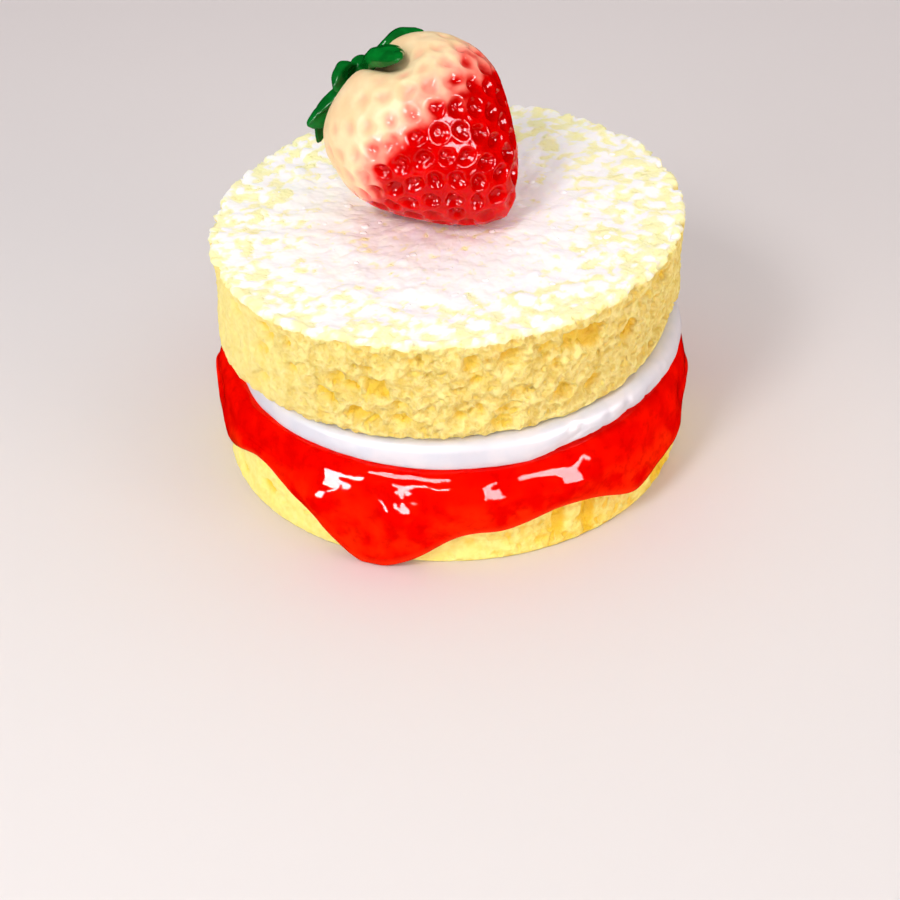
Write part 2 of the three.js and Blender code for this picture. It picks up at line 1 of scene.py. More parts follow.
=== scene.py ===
"""A small model of a victoria sponge cake: two sponge layers with jam and cream between them, a
dusted top and one strawberry lying on it.

Pieces are made in millimetres and brought to metres when they are finished. Angles round the
cake, and round the strawberry in its own frame, are counted from -Y towards +X. Each piece starts
as a plain spun shell or ball, and a few rules move its points: pores in the crumb, runs of jam,
dimples in the strawberry. What a rule knows of a point, such as how deep in a pore it lies, goes
into an attribute that the piece's material reads.
"""

import json
import math

import bmesh
import bpy
import numpy as np
from mathutils import Matrix, Vector, noise
from mathutils.bvhtree import BVHTree

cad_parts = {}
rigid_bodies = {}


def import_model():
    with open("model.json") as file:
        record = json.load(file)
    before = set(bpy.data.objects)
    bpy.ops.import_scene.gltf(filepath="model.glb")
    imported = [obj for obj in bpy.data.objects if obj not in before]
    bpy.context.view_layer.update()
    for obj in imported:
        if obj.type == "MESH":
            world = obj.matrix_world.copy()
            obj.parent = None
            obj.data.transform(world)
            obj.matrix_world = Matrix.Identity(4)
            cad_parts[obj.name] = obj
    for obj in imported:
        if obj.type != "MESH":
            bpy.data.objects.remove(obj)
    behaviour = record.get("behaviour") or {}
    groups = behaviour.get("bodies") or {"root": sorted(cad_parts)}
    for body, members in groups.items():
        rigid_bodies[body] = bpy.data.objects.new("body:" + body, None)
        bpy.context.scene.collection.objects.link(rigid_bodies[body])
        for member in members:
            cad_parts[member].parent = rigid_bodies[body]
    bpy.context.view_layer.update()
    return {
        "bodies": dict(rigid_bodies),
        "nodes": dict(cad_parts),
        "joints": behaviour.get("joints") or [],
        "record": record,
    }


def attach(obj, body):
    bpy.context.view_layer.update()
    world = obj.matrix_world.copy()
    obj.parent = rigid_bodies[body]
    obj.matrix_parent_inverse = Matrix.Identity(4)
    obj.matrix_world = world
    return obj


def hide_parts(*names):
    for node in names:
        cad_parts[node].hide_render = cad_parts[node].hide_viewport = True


MM = 0.001
TURN = math.tau
NOISE_SEED = 12  # of the noise vectors, which otherwise change with the clock

# ---- Driving dimensions, in millimetres ----

GAP = 0.3  # between two pieces that rest on or in each other
SPONGE_REACH, JAM_REACH = 34.0, 36.0  # about how far their sides are from the axis

LOWER = {"base": 34.7, "top": 33.8, "height": 14.6, "edge": 0.8, "rim": 0.8}
UPPER = {"base": 33.2, "top": 34.6, "height": 17.2, "edge": 0.8, "rim": 1.3}
UPPER_MIDDLE = Vector((0.5, 0.0, 21.0))  # of its underside
UPPER_TILT = math.radians(2.3)  # it leans to the left
JAM = {"top": 16.9, "shoulder": 1.7, "skirt": 1.25, "hem": 8.2, "lowest": 0.45}
CREAM = {"radius": 33.3, "bottom": 17.2, "roundness": 0.85, "pushed": (1.4, -1.2)}
STALK_END = Vector((-10.36, 7.42, 56.8))
BERRY_HEADING = math.radians(-35.3)  # where the tip points, seen from above, from +X
BERRY_DIP = math.radians(34.7)  # how far the tip points down
DIMPLES = {"count": 200, "depth": 0.8, "half_width": 1.5, "crowding": 1.1}
CLEFT = {"at": 113, "half_width": 0.34, "length": 8.0, "depth": 4.0}
CHEEK = {"at": 218, "half_width": 0.8, "length": 8.0, "stands_out": 0.75}  # a fuller side
# Seeds are where the skin is at least this ripe, up to the last one's place along.
SEEDS = {"ripe": 0.6, "last": 24.5, "size": (0.34, 0.52, 0.24), "sunk": 0.05}
# A leaf's level at the stub, and powers that make its section squarer and its ends blunter.
LEAF = {"root": -2.2, "steps": 64, "squareness": 0.55, "bluntness": 0.42}
LEAF_RELIEF = {"fold": 0.34, "wave": 0.14, "crinkle": 0.22, "voxel": 0.16}
SEAT_FROM = 6.0  # how far below its top the strawberry can press the upper sponge
BELOW_SEAT = 20.0  # a level below the seat, from where the strawberry's underside is sought

# How fine each shell is: points in a ring, and millimetres between neighbouring rings.
CRUMB_POINTS, CRUMB_STEP = 560, 0.38
JAM_POINTS, CREAM_POINTS = 420, 320

# What is drawn over a surface: how many, and the seed of the draw.
LOWER_SCATTERED, UPPER_SCATTERED = (70, 41), (150, 7)  # small pores
CLUMPS, CLUMPS_SEED = 110, 311  # of powder

# Stretches of the side, in degrees: where each starts, is full, starts to fade and ends.
OPENED = (-5, 25, 60, 100)  # the lower sponge's crumb is torn open
RAISED = (10, 50, 90, 130)  # the filling is pushed up towards its edge
CREASED = (15, 30, 60, 75)  # the cream's edge is creased
SMOOTH_SIDE = {"at": -80, "torn_from": 15, "all_torn": 60}  # of the upper sponge

CAMERA = {"lens": 84.2, "place": (0.0, -0.26854, 0.19277)}  # the place in metres
CAMERA_TURNS = (0.14, 36.41, -1.97)  # heading, how far down it looks, and roll, in degrees
FLOOR_REACH = 3.0  # in metres

# Lights: place and size in metres, radiance, and colour where it isn't white.
LIT_MIDDLE = Vector((0, 0, 0.03))
FILLS = {
    "key": ((-0.22, -0.34, 0.42), (0.12, 0.12), 24.5, (1.0, 0.99, 0.98)),
    "overhead": ((0.08, 0.08, 0.50), (0.95, 0.85), 0.66, (1, 0.985, 0.97)),
    "left_front": ((-0.50, -0.50, 0.25), (0.40, 0.40), 2.9, (1.0, 1.0, 0.99)),
    "right_front": ((0.60, -0.45, 0.16), (0.35, 0.35), 5.2, (1, 0.80, 0.67)),
}
WINDOWS = {
    "left_window": ((-0.46, -0.36, 0.13), (0.15, 0.16), 75.0),
    "right_window": ((0.40, -0.42, 0.19), (0.30, 0.22), 44.0, (1, 0.94, 0.95)),
    "high_window": ((-0.20, -0.32, 0.50), (0.20, 0.18), 42.0),
    "front_window": ((-0.20, -0.56, 0.24), (0.17, 0.08), 60.0),
}

# Runs of jam: where each one hangs, how wide it is, how far its end is below the hem, and how
# much thicker it is there. Angle and width in degrees.
RUNS = [
    (-20, 13.5, 7.9, 0.85),
    (-53, 13, -2.6, 0.1),
    (-66, 9, 1.4, 0.2),
    (-92, 12, -4.2, 0.3),
    (-7, 8, 2.0, 0.2),
    (10, 9.5, 2.0, 0.3),
    (48, 12, 3.5, 0.45),
    (66, 8, 1.6, 0.3),
    (84, 11, -2.4, 0.1),
    (112, 11, 4.1, 0.5),
    (152, 15, 5.6, 0.6),
    (188, 12, -2.2, 0.1),
    (222, 12, 4.6, 0.5),
    (250, 9, 1.6, 0.3),
]

# Soft lumps in the jam: angle in degrees, level, half width, half height, how far they stand out.
# Below 0 it is a dent.
JAM_LUMPS = [
    (-32, 9.7, 6.0, 3.4, 1.8),
    (-13, 9.0, 5.6, 3.2, 1.6),
    (3, 11.3, 5.5, 3.2, 1.6),
    (9.5, 13.7, 1.1, 0.9, -0.35),
    (28, 11.8, 5.5, 2.6, 1.1),
    (-60, 11.5, 4.0, 2.0, 0.5),
    (62, 12.0, 4.0, 2.0, 0.5),
]

# Where the upper sponge's lower rim is rubbed away, or stands out if the depth is below 0: angle
# and width in degrees, depth.
WORN = [
    (69, 13, 2.4),
    (-75, 26, -1.9),
    (98, 18, -1.3),
]

# The largest pores: angle in degrees, height over the sponge's underside, half width, half
# height, depth.
UPPER_PORES = [
    (34.7, 12.1, 2.3, 2.5, 3.0),
    (47.1, 9.3, 2.1, 2.3, 2.8),
    (58.9, 14.0, 1.5, 1.4, 2.0),
    (64.5, 5.7, 1.2, 1.3, 1.3),
    (50.6, 13.2, 1.0, 1.1, 0.9),
    (30.0, 14.2, 1.2, 1.0, 0.9),
    (4.5, 12.9, 1.6, 1.9, 1.5),
    (-6.4, 14.0, 1.3, 1.3, 1.0),
    (-18.2, 8.4, 2.0, 2.2, 1.6),
    (-24.5, 8.0, 1.5, 1.8, 1.5),
    (-24.0, 3.2, 1.9, 2.0, 1.5),
    (-13.0, 3.0, 2.2, 1.7, 1.4),
    (16.0, 6.5, 1.5, 1.5, 1.2),
    (25.0, 9.5, 1.4, 1.6, 1.2),
]
LOWER_PORES = [
    (25.2, 4.4, 1.3, 3.6, 1.0),
    (33.7, 4.0, 1.5, 3.4, 1.2),
    (3.0, 3.2, 1.6, 1.5, 0.7),
    (-40.8, 3.3, 1.7, 1.5, 0.6),
]

# Half the strawberry's outline, [along, radius], from the hollow under its leaves to its tip.
BERRY_OUTLINE = [
    (0.9, 0.0),
    (0.3, 3.2),
    (-0.6, 5.6),
    (0.1, 8.0),
    (2.2, 10.6),
    (5.5, 12.6),
    (9.8, 13.6),
    (13.6, 12.8),
    (18.2, 10.5),
    (22.7, 7.5),
    (25.6, 4.8),
    (27.6, 2.3),
    (28.5, 0.0),
]

# Leaves, in the strawberry's own frame: angle, (reach, level) at the middle and at the end, full
# width, thickness, how far the end is turned about the leaf's own line, in degrees, and how much
# broader one half is than the other.
LEAVES = [
    (34, (6.8, -1.7), (10.4, 0.6), 3.4, 1.3, 10, 0.0),
    (117, (7.5, 0.1), (12.8, 3.8), 5.0, 1.9, -6, -0.4),
    (181, (3.2, -2.8), (7.2, -1.2), 4.6, 1.8, 55, 0.3),
    (228, (6.0, -1.4), (11.6, -1.2), 4.6, 1.8, 40, 0.4),
    (244, (8.8, -1.6), (13.0, 1.1), 3.6, 1.2, 45, 0.0),
    (318, (6.4, -1.7), (11.0, 0.7), 4.4, 1.1, -8, 0.0),
]

# Where the strawberry turns from cream to red: angle, where the first pink is, where it is all
# red, both counted along from its stalk end.
BLUSH = [
    (40, 4.0, 14.0),
    (75, 4.2, 14.5),
    (95, 6.4, 14.8),
    (125, 7.2, 14.6),
    (150, 8.6, 14.0),
    (176, 7.8, 12.6),
    (197, 10.0, 15.6),
    (235, 8.4, 14.0),
    (310, 7.0, 13.5),
]

# ---- Small helpers ----


def draws(seed):
    """A seeded draw: the same numbers from 0 to 1 in the same order every time."""
    whole = 0xFFFFFFFF
    state = seed
    while True:
        state = (state + 0x6D2B79F5) & whole
        stirred = ((state ^ (state >> 15)) * (state | 1)) & whole
        stirred ^= (stirred + (stirred ^ (stirred >> 7)) * (stirred | 61)) & whole
        yield (stirred ^ (stirred >> 14)) / 2**32


def lerp(low, high, share):
    return low + (high - low) * share


def smooth(value, low, high):
    """0 below low, 1 above high, and a soft step between them."""
    share = np.clip((value - low) / (high - low), 0, 1)
    return share * share * (3 - 2 * share)


def angle_between(a, b):
    return np.arctan2(np.sin(a - b), np.cos(a - b))


def around(radius, angle, height):
    """Points about the Z axis, one in each row."""
    return np.stack([radius * np.sin(angle), -radius * np.cos(angle), height + 0 * angle], -1)


def angle_of(points):
    return np.arctan2(points[:, 0], -points[:, 1])


def reach_of(points):
    """How far each point is from the Z axis."""
    return np.hypot(points[:, 0], points[:, 1])


def bell(angle, at, wide):
    """1 at an angle and less on both sides of it, all in radians."""
    away = angle_between(angle, at) / wide
    return np.exp(-away * away)


def added_up(angle, rows):
    """Rows of an angle and a width in degrees, and measures. Each measure is full at its angle,
    less on both sides of it, and added up over the rows."""
    totals = np.zeros((len(rows[0]) - 2, len(angle)))
    for at, wide, *measures in rows:
        share = bell(angle, math.radians(at), math.radians(wide))
        for total, measure in zip(totals, measures):
            total += measure * share
    return totals


def stretch(angle, starts, full, fades, ends):
    """1 over a stretch of the side and 0 off it, with limits in degrees."""
    turn = np.degrees(angle)
    return smooth(turn, starts, full) * (1 - smooth(turn, fades, ends))


def waver(angle, phase):
    """A slow unevenness round a piece, from -1 to 1."""
    slow = 0.5 * np.sin(2 * angle + phase) + 0.3 * np.sin(3 * angle + 2.1 * phase)
    return slow + 0.2 * np.sin(7 * angle + 3.7 * phase)


def swirl(points, size, octaves=2):
    """A soft unevenness in space, from about -1 to 1, of that size in millimetres. A number
    added to the points takes it from another place."""
    rows = (points / size).tolist()
    return np.array([noise.fractal(row, 1.0, 2.0, octaves) for row in rows])


def warped(points, size, amount):
    """The points, each drawn a little aside, so that what is laid over them comes out uneven."""
    rows = (points / size).tolist()
    return points + amount * np.array([noise.noise_vector(row) for row in rows])


def cells(points, size):
    """How far each point is from the middle of its cell, in cells, how far above it, how far it
    is from the next cell's middle than from its own, and the cell's own number from 0 to 1."""
    found = [noise.voronoi(row) for row in (points / size).tolist()]
    off = np.array([distances[0] for distances, _ in found])
    border = np.array([distances[1] - distances[0] for distances, _ in found])
    middles = np.array([tuple(near[0]) for _, near in found])
    above = points[:, 2] / size - middles[:, 2]
    own = np.modf(np.abs(np.sin(middles @ (12.9898, 78.233, 37.719)) * 43758.5453))[0]
    return off, above, border, own


def smooth_line(points, steps):
    """Evenly spaced points on a smooth line through the given ones."""
    given = [np.array(point, float) for point in points]
    given = [2 * given[0] - given[1], *given, 2 * given[-1] - given[-2]]
    fine = [given[1]]
    for a, b, c, d in zip(given, given[1:], given[2:], given[3:]):
        knots = np.cumsum([0, *(math.dist(p, q) ** 0.5 for p, q in ((a, b), (b, c), (c, d)))])
        for t in np.linspace(knots[1], knots[2], 41)[1:]:

            def between(p, q, low, high):
                return (p * (knots[high] - t) + q * (t - knots[low])) / (knots[high] - knots[low])

            ab, bc, cd = between(a, b, 0, 1), between(b, c, 1, 2), between(c, d, 2, 3)
            fine.append(between(between(ab, bc, 0, 2), between(bc, cd, 1, 3), 1, 2))
    return evenly(fine, steps)


def evenly(points, steps):
    """The same line with evenly spaced points."""
    points = np.array(points, float)
    lengths = np.cumsum([0, *np.linalg.norm(np.diff(points, axis=0), axis=1)])
    places = np.linspace(0, lengths[-1], steps + 1)
    return np.stack([np.interp(places, lengths, column) for column in points.T], -1)


def quarter(middle, size, start):
    """A quarter circle about [radius, level], anticlockwise from start in degrees."""
    turns = np.radians(np.linspace(start, start + 90, 7))
    return [(middle[0] + size * math.cos(t), middle[1] + size * math.sin(t)) for t in turns]


def rolled(profile, count):
    """A closed shell from half its outline, [radius, level] from the axis below to the axis
    above: a grid rolled about the Z axis and closed at its seam and poles. With it comes the
    number of the outline's point that each of its points is from."""
    bm = bmesh.new()
    last = len(profile) - 1
    bmesh.ops.create_grid(bm, x_segments=count, y_segments=last, size=0.5)
    flat = places(bm)
    row = np.rint((flat[:, 1] + 0.5) * last).astype(int)
    radius, level = np.array(profile)[row].T
    move_to(bm, around(radius, flat[:, 0] * TURN, level))
    mark(bm, "row", row)
    bmesh.ops.remove_doubles(bm, verts=bm.verts, dist=1e-4)
    bmesh.ops.recalc_face_normals(bm, faces=bm.faces)
    bm.normal_update()
    layer = bm.verts.layers.float["row"]
    row = np.array([int(corner[layer]) for corner in bm.verts])
    bm.verts.layers.float.remove(layer)
    return bm, row


def places(bm):
    return np.array([corner.co[:] for corner in bm.verts])


def normals(bm):
    return np.array([corner.normal[:] for corner in bm.verts])


def move_to(bm, points):
    for corner, point in zip(bm.verts, points.tolist()):
        corner.co = point


def mark(bm, name, numbers):
    """Gives each point a number that the material reads by that name."""
    layer = bm.verts.layers.float.new(name)
    for corner, number in zip(bm.verts, np.asarray(numbers, float).tolist()):
        corner[layer] = number


def in_scene(name, data):
    thing = bpy.data.objects.new(name, data)
    bpy.context.scene.collection.objects.link(thing)
    return thing


def meshed(bm, name, material):
    mesh = bpy.data.meshes.new(name)
    bm.to_mesh(mesh)
    bm.free()
    mesh.materials.append(material)
    return in_scene(name, mesh)


def finished(bm, name, material, slot, *nodes):
    """The piece itself, in metres, riding on the cake's one body and no lower than its base."""
    for corner in bm.verts:
        corner.co = Vector((corner.co.x, corner.co.y, max(0.0, corner.co.z))) * MM
    for face in bm.faces:
        face.smooth = True
    piece = meshed(bm, name, material)
    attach(piece, "root")
    if nodes:
        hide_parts(*nodes)
    return piece


# ---- Crumb ----


def scattered_pores(height, listed, count, seed):
    """The listed pores, then small ones scattered over the side."""
    draw = draws(seed)
    pores = [(math.radians(at), *rest) for at, *rest in listed]
    for _ in range(count):
        size = 0.9 + 1.3 * next(draw) ** 2
        angle = next(draw) * TURN
        level = height * (0.04 + 0.92 * next(draw))
        half_width = size * (0.8 + 0.5 * next(draw))
        half_height = size * (0.8 + 0.5 * next(draw))
        pores.append((angle, level, half_width, half_height, size * (0.45 + 0.35 * next(draw))))
    return pores


def pore_depth(pores, radius, angle, level, drift):
    """How deep the side is at each place: the deepest pore there, steep above, gentle below. The
    drift draws their outlines aside."""
    angle, level = angle + drift / SPONGE_REACH, level + drift
    deepest = np.zeros_like(angle)
    for at, middle, half_width, half_height, depth in pores:
        across = angle_between(angle, at) * radius / half_width
        up = (level - middle) / half_height
        reach = across * across + up * up
        here = depth * (1 - reach**1.5) * (0.8 + 0.45 * up)
        deepest = np.maximum(deepest, np.where(reach < 1, here, 0))
    return deepest


def torn_pits(points, size, share=1.0):
    """Torn foam: floors with thin ridges between them. 0 on a ridge, and up to about 1 in the
    deepest cells. share is the share of the cells that are open."""
    _, above, border, own = cells(warped(points, 1.1 * size, 0.55 * size), size)
    walls = smooth(border, 0.02, 0.42)
    opened = smooth(own, 0.9 - share, 1.25 - share) if share < 1 else 0.35 + 0.65 * own
    return walls * opened * np.clip(0.8 + 0.6 * above, 0.3, 1.3)


def sponge_shell(layer):
    """A sponge layer's plain shell, coarse underneath and fine at the side and on top: with it
    come its points, which way each one faces, and their angles."""
    edge, rim, height = layer["edge"], layer["rim"], layer["height"]
    side = [
        *quarter((layer["base"] - edge, edge), edge, -90),
        *quarter((layer["top"] - rim, height - rim), rim, 0),
        (0.0, height),
    ]
    length = sum(math.dist(a, b) for a, b in zip(side, side[1:]))
    fine = evenly(side, round(length / CRUMB_STEP)).tolist()
    bm, _ = rolled([(0.0, 0.0), (12.0, 0.0), (24.0, 0.0), (30.0, 0.0), *fine], CRUMB_POINTS)
    points = places(bm)
    return bm, points, normals(bm), angle_of(points)


def lower_sponge(material):
    bm, points, out, angle = sponge_shell(LOWER)
    on_side = 1 - np.abs(out[:, 2])
    drift = 0.35 * swirl(points + 31, 2.4)
    pores = scattered_pores(LOWER["height"], LOWER_PORES, *LOWER_SCATTERED)
    deep = 0.9 * pore_depth(pores, LOWER["base"], angle, points[:, 2], drift)
    pits = 0.4 * torn_pits(points + 7, 2.4, 0.45) + 0.15 * torn_pits(points + 3, 1.3)
    grain = 0.10 * swirl(points, 1.2, 2)
    depth = on_side * (deep + pits - grain)
    move_to(bm, points - out * depth[:, None])
    opened = stretch(angle, *OPENED)
    # The pit mark sets the painted golden shade; over the torn-open stretch there is more of it.
    mark(bm, "pit", np.clip(deep + 0.9 * pits + 0.45 * opened, 0, 1))
    mark(bm, "torn", lerp(0.45, 1.0, opened))
    return finished(bm, "lower_sponge_crumb", material, "lower_crumb", "lower_sponge")


def powder_cover(points):
    """How much of the top is under powder, from 0 to 1, in the upper sponge's own frame."""
    angle = angle_of(points)
    bare = reach_of(points) / UPPER["top"] + 0.08 * swirl(points * (1, 1, 0) + 5, 8)
    bare += 0.03 * np.cos(angle + math.radians(110))
    bare += 0.17 * smooth(np.cos(angle - math.radians(95)), 0.1, 0.9)
    return 0.98 - 0.60 * smooth(bare, 0.53, 0.99) - 0.12 * smooth(bare, 1.0, 1.15)


def upper_side(points, angle, torn):
    """How deep the upper sponge's side is and how deep in a pore or pit: listed and scattered
    pores, then close-set pits where it is torn the most, and slits where it is smooth."""
    level = points[:, 2]
    pores = scattered_pores(UPPER["height"], UPPER_PORES, *UPPER_SCATTERED)
    deep = pore_depth(pores, UPPER["top"], angle, level, 0.45 * swirl(points + 11, 2.2))
    slits = torn_pits(points * (1.5, 1.5, 0.55) + 50, 1.9, 0.45)
    pits = 0.85 * torn_pits(points, 2.7, 0.5) + 0.55 * torn_pits(points + 19, 1.6, 0.8)
    pits = lerp(0.5 * slits + 0.3 * pits, pits, torn)
    wear = added_up(angle, WORN)[0] * (1 - smooth(level, 1, 13))
    side = deep + pits - 0.16 * swirl(points, 1.2, 2) + wear - 0.3 * waver(angle, 1.7) - 0.35
    return side, np.clip((1.1 * deep + pits) / 1.6, 0, 1)


def upper_top(points, facing_up):
    """Powder in soft lumps, which thin out towards a ragged rim: how far the top stands out, how
    deep its rim is cut, and how much powder there is."""
    off, _, _, own = cells(warped(points + 91, 1.6, 0.6), 1.7)
    grains = 1 - np.clip(off, 0, 1) ** 2
    top = 0.28 * grains * lerp(0.5, 1.3, own) + 0.45 * swirl(points + 71, 3.6, 1) - 0.55
    at_rim = 4 * facing_up * (1 - facing_up)
    ragged = at_rim * (1.3 * smooth(swirl(points + 57, 1.8, 2), 0.0, 0.7) - 0.35)
    patchy = 0.75 * swirl(points + 83, 1.9, 2) + 0.55 * (own - 0.5) + 0.5 * (grains - 0.7)
    powder = facing_up**0.4 * (0.26 + 0.74 * smooth(powder_cover(points) + patchy, 0.1, 0.9))
    return top, ragged, powder


def with_seat(points, berry_tree, place):
    """The upper sponge's points in the cake's frame, with the seat that the strawberry presses
    into its top."""
    seated = []
    for point in points.tolist():
        spot = place @ Vector(point)
        if point[2] > UPPER["height"] - SEAT_FROM:
            below = Vector((spot.x, spot.y, BELOW_SEAT))
            hit = berry_tree.ray_cast(below, Vector((0, 0, 1)))[0]
            if hit is not None and hit.z - GAP < spot.z:
                spot.z = hit.z - GAP
        seated.append(spot[:])
    return np.array(seated)


def upper_sponge(material, berry_tree, place):
    """The upper layer, with its side torn open, its top powdered and a seat for the strawberry.
    With it comes its shape, still in millimetres."""
    bm, points, out, angle = sponge_shell(UPPER)
    facing_up = np.clip(out[:, 2], 0, 1)
    on_side = (1 - np.abs(out[:, 2])) ** 0.5
    from_smooth = np.abs(np.degrees(angle_between(angle, math.radians(SMOOTH_SIDE["at"]))))
    torn = smooth(from_smooth, SMOOTH_SIDE["torn_from"], SMOOTH_SIDE["all_torn"])
    side, pit = upper_side(points, angle, torn)
    top, ragged, powder = upper_top(points, facing_up)
    moved = points + out * (facing_up**2 * top - on_side * side - ragged)[:, None]
    # The pit mark sets the painted golden shade in pores and pits.
    mark(bm, "pit", pit * on_side)
    mark(bm, "powder", powder)
    mark(bm, "torn", lerp(0.35, 1.0, torn))
    move_to(bm, with_seat(moved, berry_tree, place))
    tree = BVHTree.FromBMesh(bm)
    finished(bm, "upper_sponge_crumb", material, "upper_crumb", "upper_sponge")
    return tree


# ---- Jam and cream ----


def lower_radius(level):
    return lerp(LOWER["base"], LOWER["top"], level / LOWER["height"])


def filling_rise(angle, radius):
    """The filling is pushed up a little towards its edge at the right."""
    return 0.9 * stretch(angle, *RAISED) * smooth(radius, 20, 31)


def jam_skirt():
    """The skirt's section, up its inside and down its outside: how far up a point is, from the
    lower edge, 0, to the sponge's top, 1, and its distance from the sponge in thicknesses."""
    inner = [(share, 0.0) for share in np.linspace(1.0, 0.14, 14)]
    hem = smooth_line([(0.12, 0.0), (0.0, 0.1), (-0.03, 0.5), (0.02, 0.95), (0.12, 1.15)], 12)
    outer = smooth_line([(0.14, 1.17), (0.35, 1.25), (0.7, 1.2), (1.0, 1.08)], 28)
    return [*inner, *hem.tolist(), *outer.tolist()]


def jam_shoulder():
    """The round shoulder from the skirt to the layer's top, [radius, level]."""
    edge, top, wide = LOWER["top"], LOWER["height"], JAM["shoulder"]
    stops = [
        (edge + wide + 0.05, top - 1.4),
        (edge + 0.85 * wide, top + 0.2),
        (edge + 0.25 * wide, top + 1.5),
        (edge - 2.0, JAM["top"]),
    ]
    return smooth_line(stops, 18).tolist()


def jam_relief(points, angle):
    """How far the jam's skin stands out: soft ripples, and the listed lumps."""
    relief = 0.4 * swirl(points + 17, 5.0, 1) + 0.07 * swirl(points + 29, 1.9, 1)
    for at, middle, half_width, half_height, stands_out in JAM_LUMPS:
        across = angle_between(angle, math.radians(at)) * JAM_REACH / half_width
        up = (points[:, 2] - middle) / half_height
        relief += stands_out * np.exp(-across * across - up * up)
    return relief


def jam(material):
    """A spread layer with a skirt down the side of the lower sponge, in runs and soft lumps."""
    edge, sponge_top = LOWER["top"], LOWER["height"]
    skirt, over = jam_skirt(), jam_shoulder()
    under = [(radius, sponge_top + GAP) for radius in (0.0, 20.0, edge + GAP)]
    hanging = [
        (edge + GAP + out * JAM["skirt"], lerp(JAM["hem"], sponge_top, share))
        for share, out in skirt
    ]
    flat = [(radius, JAM["top"]) for radius in (30.0, 26.0, 13.0, 0.0)]
    bm, row = rolled([*under, *hanging, *over, *flat], JAM_POINTS)
    points = places(bm)
    angle, radius, level = angle_of(points), reach_of(points), points[:, 2]
    first, past = len(under), len(under) + len(skirt)
    on_skirt = (row >= first) & (row < past)
    on_shoulder = (row >= past) & (row < past + len(over))
    share, out = np.array(skirt)[np.clip(row - first, 0, len(skirt) - 1)].T
    drop, bulge = added_up(angle, RUNS)
    lowest_edge = JAM["hem"] - drop + 0.35 * waver(2 * angle, 1.3)
    lowest_edge = np.maximum(JAM["lowest"], lowest_edge)
    hung = lerp(lowest_edge, sponge_top - 2.2 * share * (out > 0.9), share)
    swell = 0.5 * bulge + 0.25 * waver(angle, 0.8)
    thickness = JAM["skirt"] + bulge * (1 - smooth(share, 0.1, 0.9)) + swell * smooth(share, 0.4, 1)
    draped = around(lower_radius(hung) + GAP + out * thickness, angle, hung)
    fade = np.clip((past + len(over) - row) / len(over), 0, 1)
    risen = level + filling_rise(angle, radius) * (1 - fade)
    spread = around(radius + on_shoulder * fade * swell, angle, risen)
    moved = np.where(on_skirt[:, None], draped, spread)
    outside = np.where(on_skirt, smooth(out, 0.3, 1.0), on_shoulder * smooth(fade, 0.0, 0.4))
    moved += (outside * jam_relief(moved, angle))[:, None] * around(1.0, angle, 0.4)
    move_to(bm, moved)
    above_hem = share * (sponge_top - lowest_edge)
    # The material paints the thin hem with a glow of light passing through it.
    mark(bm, "thin", np.where(on_skirt, 1 - smooth(above_hem, 0.2, 1.8), 0) * outside)
    mark(bm, "low", np.where(on_skirt, 1 - smooth(share, 0.35, 1.1), 0))
    return finished(bm, "jam_gel", material, "jam", "jam")


def cream(material):
    """The cream is pressed into a wedge: its top follows the underside of the upper sponge."""
    widest, bottom = CREAM["radius"], CREAM["bottom"]
    edge_steps = 22
    shares = [(1 - math.cos(math.pi * i / edge_steps)) / 2 for i in range(edge_steps + 1)]
    inner = [(0.0, 0.0), (14.0, 0.0), (26.0, 0.0)]
    rows = [*inner, *((widest, share) for share in shares), *((r, 1.0) for r, _ in inner[::-1])]
    bm, row = rolled(rows, CREAM_POINTS)
    points = places(bm)
    on_edge = (row >= len(inner)) & (row < len(rows) - len(inner))
    angle = angle_of(points)
    radius, share = reach_of(points), points[:, 2]
    off_middle = radius * np.sin(angle) + CREAM["pushed"][0] - UPPER_MIDDLE.x
    top = UPPER_MIDDLE.z + off_middle * math.tan(UPPER_TILT) - GAP
    tuck = 1 - np.sqrt(np.clip(1 - (2 * share - 1) ** 2, 0, 1))
    inset = CREAM["roundness"] * tuck * (top - bottom) / 2
    reach = radius + on_edge * (0.3 * waver(angle, 2.4) - inset)
    low = bottom + filling_rise(angle, radius)
    moved = around(reach, angle, lerp(low, top, share)) + (*CREAM["pushed"], 0)
    soft = 0.16 * swirl(moved + 3, 6.0) + 0.05 * swirl(moved + 9, 1.8)
    crease = 0.35 * np.exp(-((swirl(moved * (1, 1, 0.5) + 23, 4.0) / 0.10) ** 2))
    creased = stretch(angle, *CREASED)
    moved += (on_edge * (soft - crease * creased))[:, None] * around(1.0, angle, 0.0)
    sag = on_edge * (1 - smooth(share, 0.0, 0.6)) * (1 - 0.7 * creased)
    moved += sag[:, None] * around(0.55, angle, -0.8)
    move_to(bm, moved)
    return finished(bm, "cream_layer", material, "cream", "cream")


# ---- The strawberry ----


def berry_frame():
    """The strawberry's own frame: +Z towards its tip, and -Y level, away from the front."""
    turn = Matrix.Rotation(BERRY_HEADING, 4, "Z") @ Matrix.Rotation(BERRY_DIP, 4, "Y")
    tip = turn @ Vector((1, 0, 0))
    level = Vector((0, 0, 1)).cross(tip).normalized()
    upper = tip.cross(level)
    frame = Matrix((upper, -level, tip)).transposed().to_4x4()
    return Matrix.Translation(STALK_END) @ frame


def berry_stations():
    """Places along the outline: the share of the skin's area that lies before each, along,
    radius, and how along and radius change from there on."""
    line = smooth_line(BERRY_OUTLINE, 640)
    along, radius = line.T
    area = np.cumsum([0, *(radius[1:] + radius[:-1])])
    ahead = np.gradient(line, axis=0)
    ahead /= np.linalg.norm(ahead, axis=1)[:, None]
    return area / area[-1], along, radius, *ahead.T


def spiral_directions(count):
    """Directions spread evenly over a ball along a spiral, each a golden angle on."""
    index = np.arange(count)
    height = 1 - (2 * index + 1) / count
    return around(np.sqrt(1 - height * height), index * math.pi * (3 - math.sqrt(5)), height)


